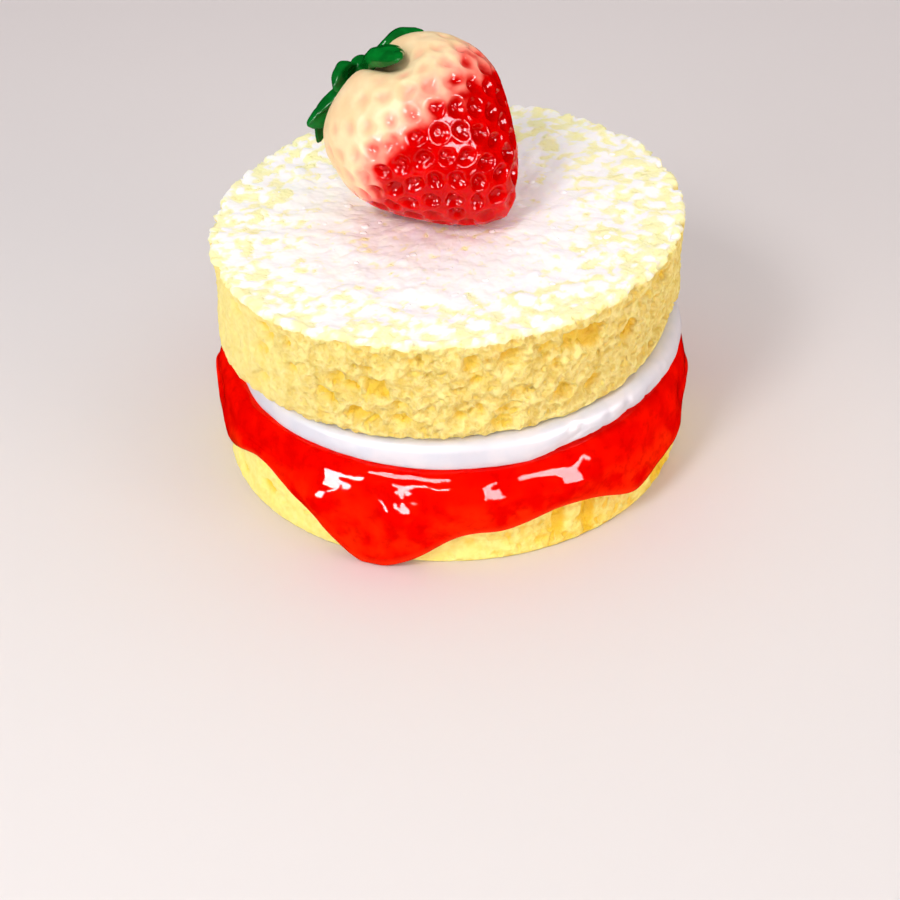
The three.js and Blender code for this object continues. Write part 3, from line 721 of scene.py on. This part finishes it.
def dimple_directions():
    """Directions of the dimples, which lie closer together towards the tip."""
    directions = spiral_directions(DIMPLES["count"])
    area = ((1 - directions[:, 2]) / 2) ** (1 / DIMPLES["crowding"])
    height = 1 - 2 * area
    angle = angle_of(directions)
    return around(np.sqrt(1 - height * height), angle, height)


def on_berry(directions, stations):
    """Where directions from the middle of a ball lie on the strawberry's plain skin, so that
    equal areas stay equal: points, angle, along, radius, and how along and radius change."""
    area = np.clip((1 - directions[:, 2]) / 2, 0, 1)
    along, radius, onward, wider = (np.interp(area, stations[0], part) for part in stations[1:])
    angle = angle_of(directions)
    return around(radius, angle, along), angle, along, radius, onward, wider


def ripeness(points, angle, along):
    """0 where the skin is still cream, 1 where it is red."""
    at, first_pink, all_red = np.array(BLUSH).T
    turn = np.degrees(angle)
    low = np.interp(turn, at, first_pink, period=360)
    high = np.interp(turn, at, all_red, period=360)
    share = (along - low) / (high - low) + 0.3 * swirl(points + 13, 2.6)
    return np.clip(share, 0, 1)


def berry_form(angle, along, radius):
    """The strawberry's plain skin with its cleft and its fuller cheek: along and radius."""
    by_stalk = (1 - smooth(along, -1, CLEFT["length"])) * smooth(radius, 2.5, 6)
    cleft = bell(angle, math.radians(CLEFT["at"]), CLEFT["half_width"])
    cleft = CLEFT["depth"] * cleft * by_stalk
    cheek = bell(angle, math.radians(CHEEK["at"]), CHEEK["half_width"])
    cheek = CHEEK["stands_out"] * cheek * smooth(radius, 5, 10)
    cheek *= 1 - smooth(along, 2, CHEEK["length"])
    return along + 0.8 * cleft, radius - 0.35 * cleft + cheek


def berry_shell():
    """The strawberry's skin in its own frame, with a well for each seed. With it come the wells'
    middles, and how far along they are."""
    bm = bmesh.new()
    bmesh.ops.create_icosphere(bm, subdivisions=7, radius=1)
    directions = places(bm)
    directions /= np.linalg.norm(directions, axis=1)[:, None]
    stations = berry_stations()
    points, angle, along, radius, onward, wider = on_berry(directions, stations)
    dimples = dimple_directions()
    middles, _, middle_along, *_ = on_berry(dimples, stations)
    nearest = np.argmax(directions @ dimples.T, axis=1)
    ripe = ripeness(points, angle, along)
    drawn = warped(points + 61, 2.4, 0.55) - 61
    off = np.linalg.norm(drawn - middles[nearest], axis=1)
    wide = DIMPLES["half_width"] * lerp(1.15, 1.0, ripe)
    well = 1 - smooth(off, wide * lerp(0.1, 0.4, ripe), wide)
    lip = np.exp(-(((off - 1.08 * wide) / 0.22) ** 2))
    strong = smooth(middle_along[nearest], 0.5, 5.0)  # faint by the stalk and by the tip
    strong *= 1 - 0.6 * smooth(middle_along[nearest], 25.5, 28.5)
    depth = DIMPLES["depth"] * strong * lerp(0.5, 1.0, ripe) * (well - 0.1 * lip)
    soft = 1 + 0.012 * swirl(points + 37, 7) * smooth(radius, 2, 8)
    formed_along, formed_radius = berry_form(angle, along + depth * wider, radius - depth * onward)
    move_to(bm, around(formed_radius * soft, angle, formed_along))
    bmesh.ops.reverse_faces(bm, faces=bm.faces)
    mark(bm, "ripe", ripe)
    # The bowl mark is where the material paints shade in the wells.
    mark(bm, "bowl", well * strong)
    return bm, middles, middle_along


def berry_seeds(material, frame, tree, middles, middle_along):
    """One small seed in each bowl of the red part, lying along the strawberry."""
    angle = angle_of(middles)
    ripe = ripeness(middles, angle, middle_along)
    bm = bmesh.new()
    for middle, ripe_here in zip(middles, ripe):
        if ripe_here < SEEDS["ripe"] or middle[2] > SEEDS["last"]:
            continue
        spot, out, _, _ = tree.find_nearest(frame @ Vector(middle.tolist()))
        towards_tip = (frame.to_3x3() @ Vector((0, 0, 1))).normalized()
        across = out.cross(towards_tip).normalized()
        lengthways = across.cross(out)
        turn = Matrix((across, lengthways, out)).transposed().to_4x4()
        seat = Matrix.Translation(spot - SEEDS["sunk"] * out) @ turn
        seat = seat @ Matrix.Diagonal((*SEEDS["size"], 1))
        bmesh.ops.create_uvsphere(bm, u_segments=8, v_segments=6, radius=1, matrix=seat)
    mark(bm, "ripe", np.ones(len(bm.verts)))
    return finished(bm, "strawberry_seeds", material, "strawberry")


def leaf(bm, at, middle, end, broad, thick, turned, uneven):
    """One plump leaf: a ball drawn out along the leaf's line and pressed flat."""
    heading = np.array(math.radians(at))
    root, steps, square = LEAF["root"], LEAF["steps"], LEAF["squareness"]
    shoulder = (0.5 * middle[0], lerp(root, middle[1], 0.6))
    stops = [(0.4, root), shoulder, middle, end]
    line = smooth_line([around(reach, heading, level) for reach, level in stops], steps)
    ball = bmesh.ops.create_uvsphere(bm, u_segments=32, v_segments=36, radius=1)["verts"]
    for corner in ball:
        share = math.acos(max(-1, min(1, corner.co.z))) / math.pi
        turn = math.atan2(corner.co.y, corner.co.x)
        index = min(int(share * steps), steps - 1)
        ahead = Vector((line[index + 1] - line[index]).tolist()).normalized()
        side = ahead.cross(Vector((0, 0, -1))).normalized()
        side = Matrix.Rotation(math.radians(turned) * share, 3, ahead) @ side
        face = side.cross(ahead).normalized()
        closing = math.sin(math.pi * share) ** LEAF["bluntness"] if 0 < share < 1 else 0
        half = broad / 2 * math.sqrt(math.sin(math.pi * (0.12 + 0.74 * share))) * closing
        parts = math.cos(turn), math.sin(turn)
        offset, rise = (math.copysign(abs(part) ** square, part) for part in parts)
        half *= 1 + uneven * offset
        fold = LEAF_RELIEF["fold"] * half * abs(offset) ** 1.3
        wave = LEAF_RELIEF["wave"] * math.sin(7 * share + 2 * offset + at)
        grown = 0.5 + 0.5 * float(smooth(share, 0.05, 0.4))
        height = wave - fold + rise * thick / 2 * grown * closing
        spot = Vector(lerp(line[index], line[index + 1], share * steps - index).tolist())
        corner.co = spot + side * offset * half + face * height


def leaves(material, frame):
    """One moulding: the stub and its leaves are fused and their joints softened."""
    bm = bmesh.new()
    stub = Matrix.Translation((0, 0, -1.3)) @ Matrix.Diagonal((1.7, 1.7, 2.0, 1))
    bmesh.ops.create_uvsphere(bm, u_segments=24, v_segments=16, radius=1, matrix=stub)
    for row in LEAVES:
        leaf(bm, *row)
    bmesh.ops.recalc_face_normals(bm, faces=bm.faces)
    move_to(bm, warped(places(bm), 1.6, LEAF_RELIEF["crinkle"]))
    bmesh.ops.transform(bm, matrix=frame, verts=bm.verts)
    piece = finished(bm, "strawberry_leaf_moulding", material, "leaf", "strawberry_leaves")
    fused = piece.modifiers.new("fused", "REMESH")
    fused.mode = "VOXEL"
    fused.voxel_size = LEAF_RELIEF["voxel"] * MM
    fused.use_smooth_shade = True
    softened = piece.modifiers.new("softened", "SMOOTH")
    softened.factor, softened.iterations = 0.5, 3
    return piece


# ---- Finishes ----

WHITE = (1, 1, 1, 1)
# shade is painted shade between the crumb's lumps, and gold is painted golden shade in its pits.
LOWER_COLOURS = {
    "ridge": (0.99, 0.87, 0.27, 1),
    "shade": (0.92, 0.68, 0.12, 1),
    "pit_gold_shade": (0.95, 0.60, 0.02, 1),
}
UPPER_COLOURS = {
    "ridge": (0.90, 0.76, 0.28, 1),
    "shade": (0.75, 0.54, 0.11, 1),
    "pit_gold_shade": (0.90, 0.61, 0.05, 1),
    "pale": (0.97, 0.91, 0.48, 1),
    "powder": (0.965, 0.94, 0.925, 1),
}
# thin is a painted glow of light passing through the jam's thin hem.
JAM_COLOURS = {
    "deep": (0.78, 0.001, 0.0, 1),
    "clear": (0.93, 0.004, 0.0, 1),
    "bright": (0.98, 0.018, 0.001, 1),
    "dark": (0.62, 0.0, 0.0, 1),
    "thin": (1.0, 0.045, 0.008, 1),
}
# The well colours are painted shade in the strawberry's wells.
BERRY_COLOURS = {
    "cream": (0.93, 0.72, 0.43, 1),
    "tan": (0.90, 0.63, 0.35, 1),
    "cream_well_shade": (0.86, 0.50, 0.24, 1),
    "blush": (0.95, 0.40, 0.29, 1),
    "pink": (0.90, 0.13, 0.10, 1),
    "red_well_shade": (0.45, 0.0, 0.0, 1),
}
CREAM_COLOURS = {"cool": (0.67, 0.67, 0.745, 1), "warm": (0.75, 0.72, 0.77, 1)}
LEAF_COLOURS = {"dark": (0.001, 0.10, 0.011, 1), "light": (0.001, 0.165, 0.018, 1)}
POWDER_COLOURS = {"cool": (0.96, 0.93, 0.93, 1), "warm": (0.98, 0.97, 0.96, 1)}
# far is painted shade, darker towards the back of the floor.
FLOOR_COLOURS = {"near": (0.80, 0.765, 0.76, 1), "far": (0.64, 0.575, 0.58, 1)}


def new_group(name, inputs, outputs):
    """An empty node group with named sockets, and its nodes for what goes in and comes out."""
    group = bpy.data.node_groups.new(name, "ShaderNodeTree")
    for label, kind, value in inputs:
        socket = group.interface.new_socket(label, in_out="INPUT", socket_type="NodeSocket" + kind)
        if value is not None:
            socket.default_value = value
    for label, kind in outputs:
        group.interface.new_socket(label, in_out="OUTPUT", socket_type="NodeSocket" + kind)
    return group, group.nodes.new("NodeGroupInput"), group.nodes.new("NodeGroupOutput")


def feed(tree, socket, value):
    """Links an input to another node's output, or gives it a plain value."""
    if isinstance(value, bpy.types.NodeSocket):
        tree.links.new(value, socket)
    else:
        socket.default_value = value


def add(tree, kind, settings=None, **links):
    """A new node. Each link is an input's name, with _ for a space, and a socket or a value."""
    node = tree.nodes.new("ShaderNode" + kind)
    for name, value in (settings or {}).items():
        setattr(node, name, value)
    for label, value in links.items():
        wanted = label.replace("_", " ")
        feed(tree, next(s for s in node.inputs if s.name == wanted and s.enabled), value)
    return node


def maths(operation, a, b):
    """Arithmetic on two values, at least one of them a socket, in that socket's own tree."""
    tree = (a if isinstance(a, bpy.types.NodeSocket) else b).id_data
    node = tree.nodes.new("ShaderNodeMath")
    node.operation = operation
    feed(tree, node.inputs[0], a)
    feed(tree, node.inputs[1], b)
    return node.outputs[0]


def times(a, b):
    return maths("MULTIPLY", a, b)


def plus(a, b):
    return maths("ADD", a, b)


def less(a, b):
    return maths("SUBTRACT", a, b)


def mixed(share, a, b):
    """Colour a where share is 0, and b where it is 1."""
    tree = share.id_data
    node = tree.nodes.new("ShaderNodeMix")
    node.data_type = "RGBA"
    factor, first, second, result = node.inputs[0], node.inputs[6], node.inputs[7], node.outputs[2]
    feed(tree, factor, share)
    feed(tree, first, a)
    feed(tree, second, b)
    return result


def attribute(tree, name):
    return add(tree, "Attribute", {"attribute_name": name}).outputs["Fac"]


def noise_at(tree, vector, size, detail=2.0, roughness=0.5):
    """Noise of about that size in millimetres."""
    return add(
        tree, "TexNoise", Vector=vector, Scale=1 / (size * MM), Detail=detail, Roughness=roughness
    ).outputs["Fac"]


def band(value, low, high):
    """0 below low, 1 above high, soft between them."""
    soft = {"interpolation_type": "SMOOTHSTEP"}
    node = add(value.id_data, "MapRange", soft, Value=value, From_Min=low, From_Max=high)
    return node.outputs[0]


def crumb_group():
    """Torn foam: pale lumps, painted shade between them, painted golden shade in small pockets and
    pits.
    """
    group, given, result = new_group(
        "foam_crumb",
        [
            ("Vector", "Vector", None),
            ("Pit", "Float", 0.0),
            ("Torn", "Float", 1.0),
            *((label, "Color", WHITE) for label in ("Ridge", "Shade", "Gold")),
        ],
        [("Color", "Color"), ("Height", "Float")],
    )
    sockets = given.outputs
    vector = sockets["Vector"]
    small = noise_at(group, vector, 0.9, 2.0, 0.5)
    lumps = noise_at(group, vector, 2.2, 1.0, 0.5)
    both = plus(times(small, 0.55), times(lumps, 0.45))
    relief = band(both, 0.32, 0.64)
    pocket = band(noise_at(group, vector, 1.6, 1.0, 0.4), 0.56, 0.72)
    pocket = times(pocket, sockets["Torn"])
    # Painted shade between the lumps, where the relief is low.
    shaded = times(less(1.0, relief), sockets["Torn"])
    colour = mixed(shaded, sockets["Ridge"], sockets["Shade"])
    # Painted golden shade in the pits and in the sunken pockets.
    in_pit = band(sockets["Pit"], 0.25, 1.0)
    golden_shade_share = plus(times(pocket, 0.5), times(in_pit, 0.8))
    colour = mixed(band(golden_shade_share, 0.0, 1.0), colour, sockets["Gold"])
    height = less(less(1.0, shaded), times(pocket, 1.2))
    group.links.new(colour, result.inputs["Color"])
    group.links.new(height, result.inputs["Height"])
    return group


def mottle_group():
    """Two colours in soft patches."""
    group, given, result = new_group(
        "soft_mottle",
        [
            ("Vector", "Vector", None),
            ("Scale", "Float", 200.0),
            *((label, "Color", WHITE) for label in ("First", "Second")),
        ],
        [("Color", "Color"), ("Mask", "Float")],
    )
    sockets = given.outputs
    patches = add(
        group, "TexNoise", Vector=sockets["Vector"], Scale=sockets["Scale"], Detail=3.0
    ).outputs["Fac"]
    share = band(patches, 0.38, 0.66)
    colour = mixed(share, sockets["First"], sockets["Second"])
    group.links.new(colour, result.inputs["Color"])
    group.links.new(share, result.inputs["Mask"])
    return group


def new_finish(name, roughness, **sockets):
    """A material with a plain shader: its tree, its shader and Object coordinates."""
    material = bpy.data.materials.new(name)
    material.use_nodes = True
    tree = material.node_tree
    shader = tree.nodes["Principled BSDF"]
    shader.inputs["Roughness"].default_value = roughness
    for label, value in sockets.items():
        shader.inputs[label.replace("_", " ")].default_value = value
    vector = tree.nodes.new("ShaderNodeTexCoord").outputs["Object"]
    return material, tree, shader, vector


def placed(tree, group, **links):
    node = tree.nodes.new("ShaderNodeGroup")
    node.node_tree = group
    for label, value in links.items():
        feed(tree, node.inputs[label], value)
    return node


def mottled(tree, mottle, vector, size, first, second):
    """Two colours in soft patches of about that size in millimetres."""
    return placed(tree, mottle, Vector=vector, Scale=1 / (size * MM), First=first, Second=second)


def dressed(tree, shader, colour, height, strength, distance):
    """Gives the shader its colour and its relief."""
    tree.links.new(colour, shader.inputs["Base Color"])
    bump = add(tree, "Bump", Height=height, Strength=strength, Distance=distance * MM)
    tree.links.new(bump.outputs["Normal"], shader.inputs["Normal"])


def crumb_finish(name, crumb, ridge, shade, pit_gold_shade, pale=None, powder=None):
    """Foam crumb. Where there is powder it is pale under a thin layer and then the powder's own
    colour."""
    material, tree, shader, vector = new_finish(
        name, 0.85, Subsurface_Weight=0.35, Subsurface_Scale=1.3 * MM,
        Subsurface_Radius=(1.0, 0.75, 0.2), Specular_IOR_Level=0.15,
    )
    finish = placed(tree, crumb, Vector=vector, Pit=attribute(tree, "pit"),
                    Torn=attribute(tree, "torn"), Ridge=ridge, Shade=shade, Gold=pit_gold_shade)
    colour, height = finish.outputs["Color"], finish.outputs["Height"]
    if powder:
        flecks = noise_at(tree, vector, 1.2, 1.0)
        fall = plus(0.1, times(flecks, 1.8))
        dust = times(attribute(tree, "powder"), fall)
        colour = mixed(band(dust, 0.03, 0.22), colour, pale)
        colour = mixed(band(dust, 0.18, 0.80), colour, powder)
        height = times(height, band(dust, 0.4, 0.0))
        height = plus(height, times(flecks, 0.4))
    dressed(tree, shader, colour, height, 0.75, 0.4)
    return material


def jam_finish(mottle):
    material, tree, shader, vector = new_finish(
        "jam_gel", 0.04, Subsurface_Weight=0.2, Subsurface_Scale=1.5 * MM,
        Subsurface_Radius=(1.0, 0.05, 0.03), Specular_IOR_Level=0.15,
    )
    body = mottled(tree, mottle, vector, 4.0, JAM_COLOURS["deep"], JAM_COLOURS["clear"])
    bright = times(attribute(tree, "low"), body.outputs["Mask"])
    colour = mixed(bright, body.outputs["Color"], JAM_COLOURS["bright"])
    dark = band(noise_at(tree, vector, 1.6, 3.0, 0.6), 0.45, 0.70)
    colour = mixed(times(dark, 0.55), colour, JAM_COLOURS["dark"])
    # Painted glow of light passing through the thin hem.
    thin = times(attribute(tree, "thin"), 0.6)
    colour = mixed(thin, colour, JAM_COLOURS["thin"])
    dressed(tree, shader, colour, noise_at(tree, vector, 2.2, 1.0), 0.2, 0.3)
    return material


def cream_finish(mottle):
    material, tree, shader, vector = new_finish(
        "cream_clay", 0.45, Subsurface_Weight=0.3, Subsurface_Scale=1.5 * MM,
        Subsurface_Radius=(1.0, 0.8, 0.8),
    )
    body = mottled(tree, mottle, vector, 5.0, CREAM_COLOURS["cool"], CREAM_COLOURS["warm"])
    grain = noise_at(tree, vector, 0.8, 3.0)
    dressed(tree, shader, body.outputs["Color"], grain, 0.15, 0.1)
    return material


def berry_finish(mottle, name="strawberry_skin", lift=0.0):
    """Cream skin that turns pink and red, with painted shade in its wells. lift makes the red
    paler.
    """
    material, tree, shader, vector = new_finish(
        name, 0.10, Subsurface_Weight=0.1, Subsurface_Scale=1.0 * MM,
        Subsurface_Radius=(1.0, 0.2, 0.1), Specular_IOR_Level=0.16,
    )
    dark_red, red = (0.54 + lift, 0.0, 0.0, 1), (0.72 + lift, lift, lift, 1)
    red = mottled(tree, mottle, vector, 3.5, dark_red, red).outputs["Color"]
    creams = BERRY_COLOURS["cream"], BERRY_COLOURS["tan"]
    cream_skin = mottled(tree, mottle, vector, 4.5, *creams).outputs["Color"]
    bowl = attribute(tree, "bowl")
    # Painted shade in the wells of the cream skin.
    cream_skin = mixed(times(bowl, 0.42), cream_skin, BERRY_COLOURS["cream_well_shade"])
    ripe = plus(attribute(tree, "ripe"), times(bowl, 0.25))
    ripe = plus(ripe, times(noise_at(tree, vector, 1.8), 0.3))
    pale = mixed(band(ripe, 0.15, 0.7), cream_skin, BERRY_COLOURS["blush"])
    pink = mixed(band(ripe, 0.5, 1.0), pale, BERRY_COLOURS["pink"])
    # Painted shade in the wells of the red skin.
    red = mixed(times(bowl, 0.55), red, BERRY_COLOURS["red_well_shade"])
    colour = mixed(band(ripe, 0.75, 1.1), pink, red)
    matte = times(less(1.0, band(ripe, 0.3, 0.9)), 0.35)
    tree.links.new(plus(matte, 0.07), shader.inputs["Roughness"])
    dressed(tree, shader, colour, noise_at(tree, vector, 0.7, 2.0), 0.25, 0.12)
    return material


def leaf_finish(mottle):
    material, tree, shader, vector = new_finish("leaf_plastic", 0.16, Specular_IOR_Level=0.2)
    body = mottled(tree, mottle, vector, 2.5, LEAF_COLOURS["dark"], LEAF_COLOURS["light"])
    grain = noise_at(tree, vector, 0.8, 2.0)
    dressed(tree, shader, body.outputs["Color"], grain, 0.2, 0.15)
    return material


def powder_finish():
    material, tree, shader, vector = new_finish("powder", 0.9)
    shade = band(noise_at(tree, vector, 1.2, 2.0), 0.35, 0.7)
    colour = mixed(shade, POWDER_COLOURS["cool"], POWDER_COLOURS["warm"])
    dressed(tree, shader, colour, noise_at(tree, vector, 0.5, 2.0), 0.3, 0.1)
    return material


def floor_finish():
    """A plain pale floor, with painted shade that makes it a little darker towards the back."""
    material, tree, shader, vector = new_finish("plain_floor", 0.8, Specular_IOR_Level=0.2)
    depth = add(tree, "SeparateXYZ", Vector=vector).outputs["Y"]
    far = band(depth, -0.25, 0.45)
    colour = mixed(far, FLOOR_COLOURS["near"], FLOOR_COLOURS["far"])
    tree.links.new(colour, shader.inputs["Base Color"])
    return material


# ---- Powder clumps ----


def powder_clumps(material, ground, place):
    """Small soft clumps of powder lying on the top, as one mesh."""
    draw = draws(CLUMPS_SEED)
    spots = np.array([
        around((UPPER["top"] - 1.0) * next(draw) ** 0.5, np.array(next(draw) * TURN), 0.0)
        for _ in range(CLUMPS)
    ])
    cover = powder_cover(spots)
    bm = bmesh.new()
    for spot, here in zip(spots.tolist(), cover.tolist()):
        size = 0.3 + 0.35 * next(draw) ** 2
        turn = next(draw) * TURN
        flat, long = 0.35 + 0.25 * next(draw), 0.8 + 0.6 * next(draw)
        if next(draw) > here:
            continue
        over = place @ Vector((spot[0], spot[1], UPPER["height"]))
        hit = ground.ray_cast(over + Vector((0, 0, 12)), Vector((0, 0, -1)))[0]
        if hit is None or hit.z < over.z - 1.2:
            continue
        seat = Matrix.Translation(hit - Vector((0, 0, 0.1)))
        seat = seat @ Matrix.Rotation(turn, 4, "Z")
        seat = seat @ Matrix.Diagonal((size * long, size, size * flat, 1))
        bmesh.ops.create_icosphere(bm, subdivisions=2, radius=1, matrix=seat)
    return finished(bm, "powder_clumps", material, "upper_crumb")


# ---- The whole cake ----


def make_camera():
    camera = in_scene("camera", bpy.data.cameras.new("camera"))
    camera.data.lens = CAMERA["lens"]
    camera.data.clip_start = 0.01
    heading, down, roll = (math.radians(turn) for turn in CAMERA_TURNS)
    camera.matrix_world = (
        Matrix.Translation(CAMERA["place"])
        @ Matrix.Rotation(heading, 4, "Z")
        @ Matrix.Rotation(math.pi / 2 - down, 4, "X")
        @ Matrix.Rotation(roll, 4, "Z")
    )
    bpy.context.scene.camera = camera


def soft_box(name, place, size, radiance, colour=(1, 1, 1)):
    """A flat light that faces the cake, as bright as its radiance says."""
    light = bpy.data.lights.new(name, "AREA")
    light.shape = "RECTANGLE"
    light.size, light.size_y = size
    light.energy = radiance * math.pi * size[0] * size[1]
    light.color = colour
    lamp = in_scene(name, light)
    lamp.location = place
    lamp.rotation_euler = (LIT_MIDDLE - Vector(place)).to_track_quat("-Z", "Y").to_euler()
    return lamp


def light_studio():
    """Fill lights that light the surfaces evenly, and windows that only glint in what is wet."""
    world = bpy.data.worlds.new("studio")
    world.use_nodes = True
    sky = world.node_tree.nodes["Background"]
    sky.inputs["Color"].default_value = (0.97, 0.95, 0.96, 1)
    sky.inputs["Strength"].default_value = 0.40
    world.cycles_visibility.glossy = False
    bpy.context.scene.world = world
    for name, row in FILLS.items():
        soft_box(name, *row).visible_glossy = False
    for name, row in WINDOWS.items():
        soft_box(name, *row).visible_diffuse = False


def make_floor(material):
    bm = bmesh.new()
    bmesh.ops.create_grid(bm, x_segments=8, y_segments=8, size=FLOOR_REACH)
    floor = meshed(bm, "floor", material)
    floor.visible_glossy = False


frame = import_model()
noise.seed_set(NOISE_SEED)
bpy.context.scene.view_settings.view_transform = "Standard"
make_camera()
light_studio()

crumb_look, mottle_look = crumb_group(), mottle_group()
upper_place = Matrix.Translation(UPPER_MIDDLE) @ Matrix.Rotation(-UPPER_TILT, 4, "Y")

berry_place = berry_frame()
berry, dimple_middles, dimple_along = berry_shell()
bmesh.ops.transform(berry, matrix=berry_place, verts=berry.verts)
berry.normal_update()
berry_tree = BVHTree.FromBMesh(berry)
finished(berry, "strawberry_skin", berry_finish(mottle_look), "strawberry", "strawberry")
berry_seeds(berry_finish(mottle_look, "strawberry_seed", 0.03), berry_place, berry_tree,
            dimple_middles, dimple_along)
leaves(leaf_finish(mottle_look), berry_place)

lower_sponge(crumb_finish("lower_crumb", crumb_look, **LOWER_COLOURS))
jam(jam_finish(mottle_look))
cream(cream_finish(mottle_look))
upper_finish = crumb_finish("upper_crumb", crumb_look, **UPPER_COLOURS)
sponge_tree = upper_sponge(upper_finish, berry_tree, upper_place)
powder_clumps(powder_finish(), sponge_tree, upper_place)
make_floor(floor_finish())
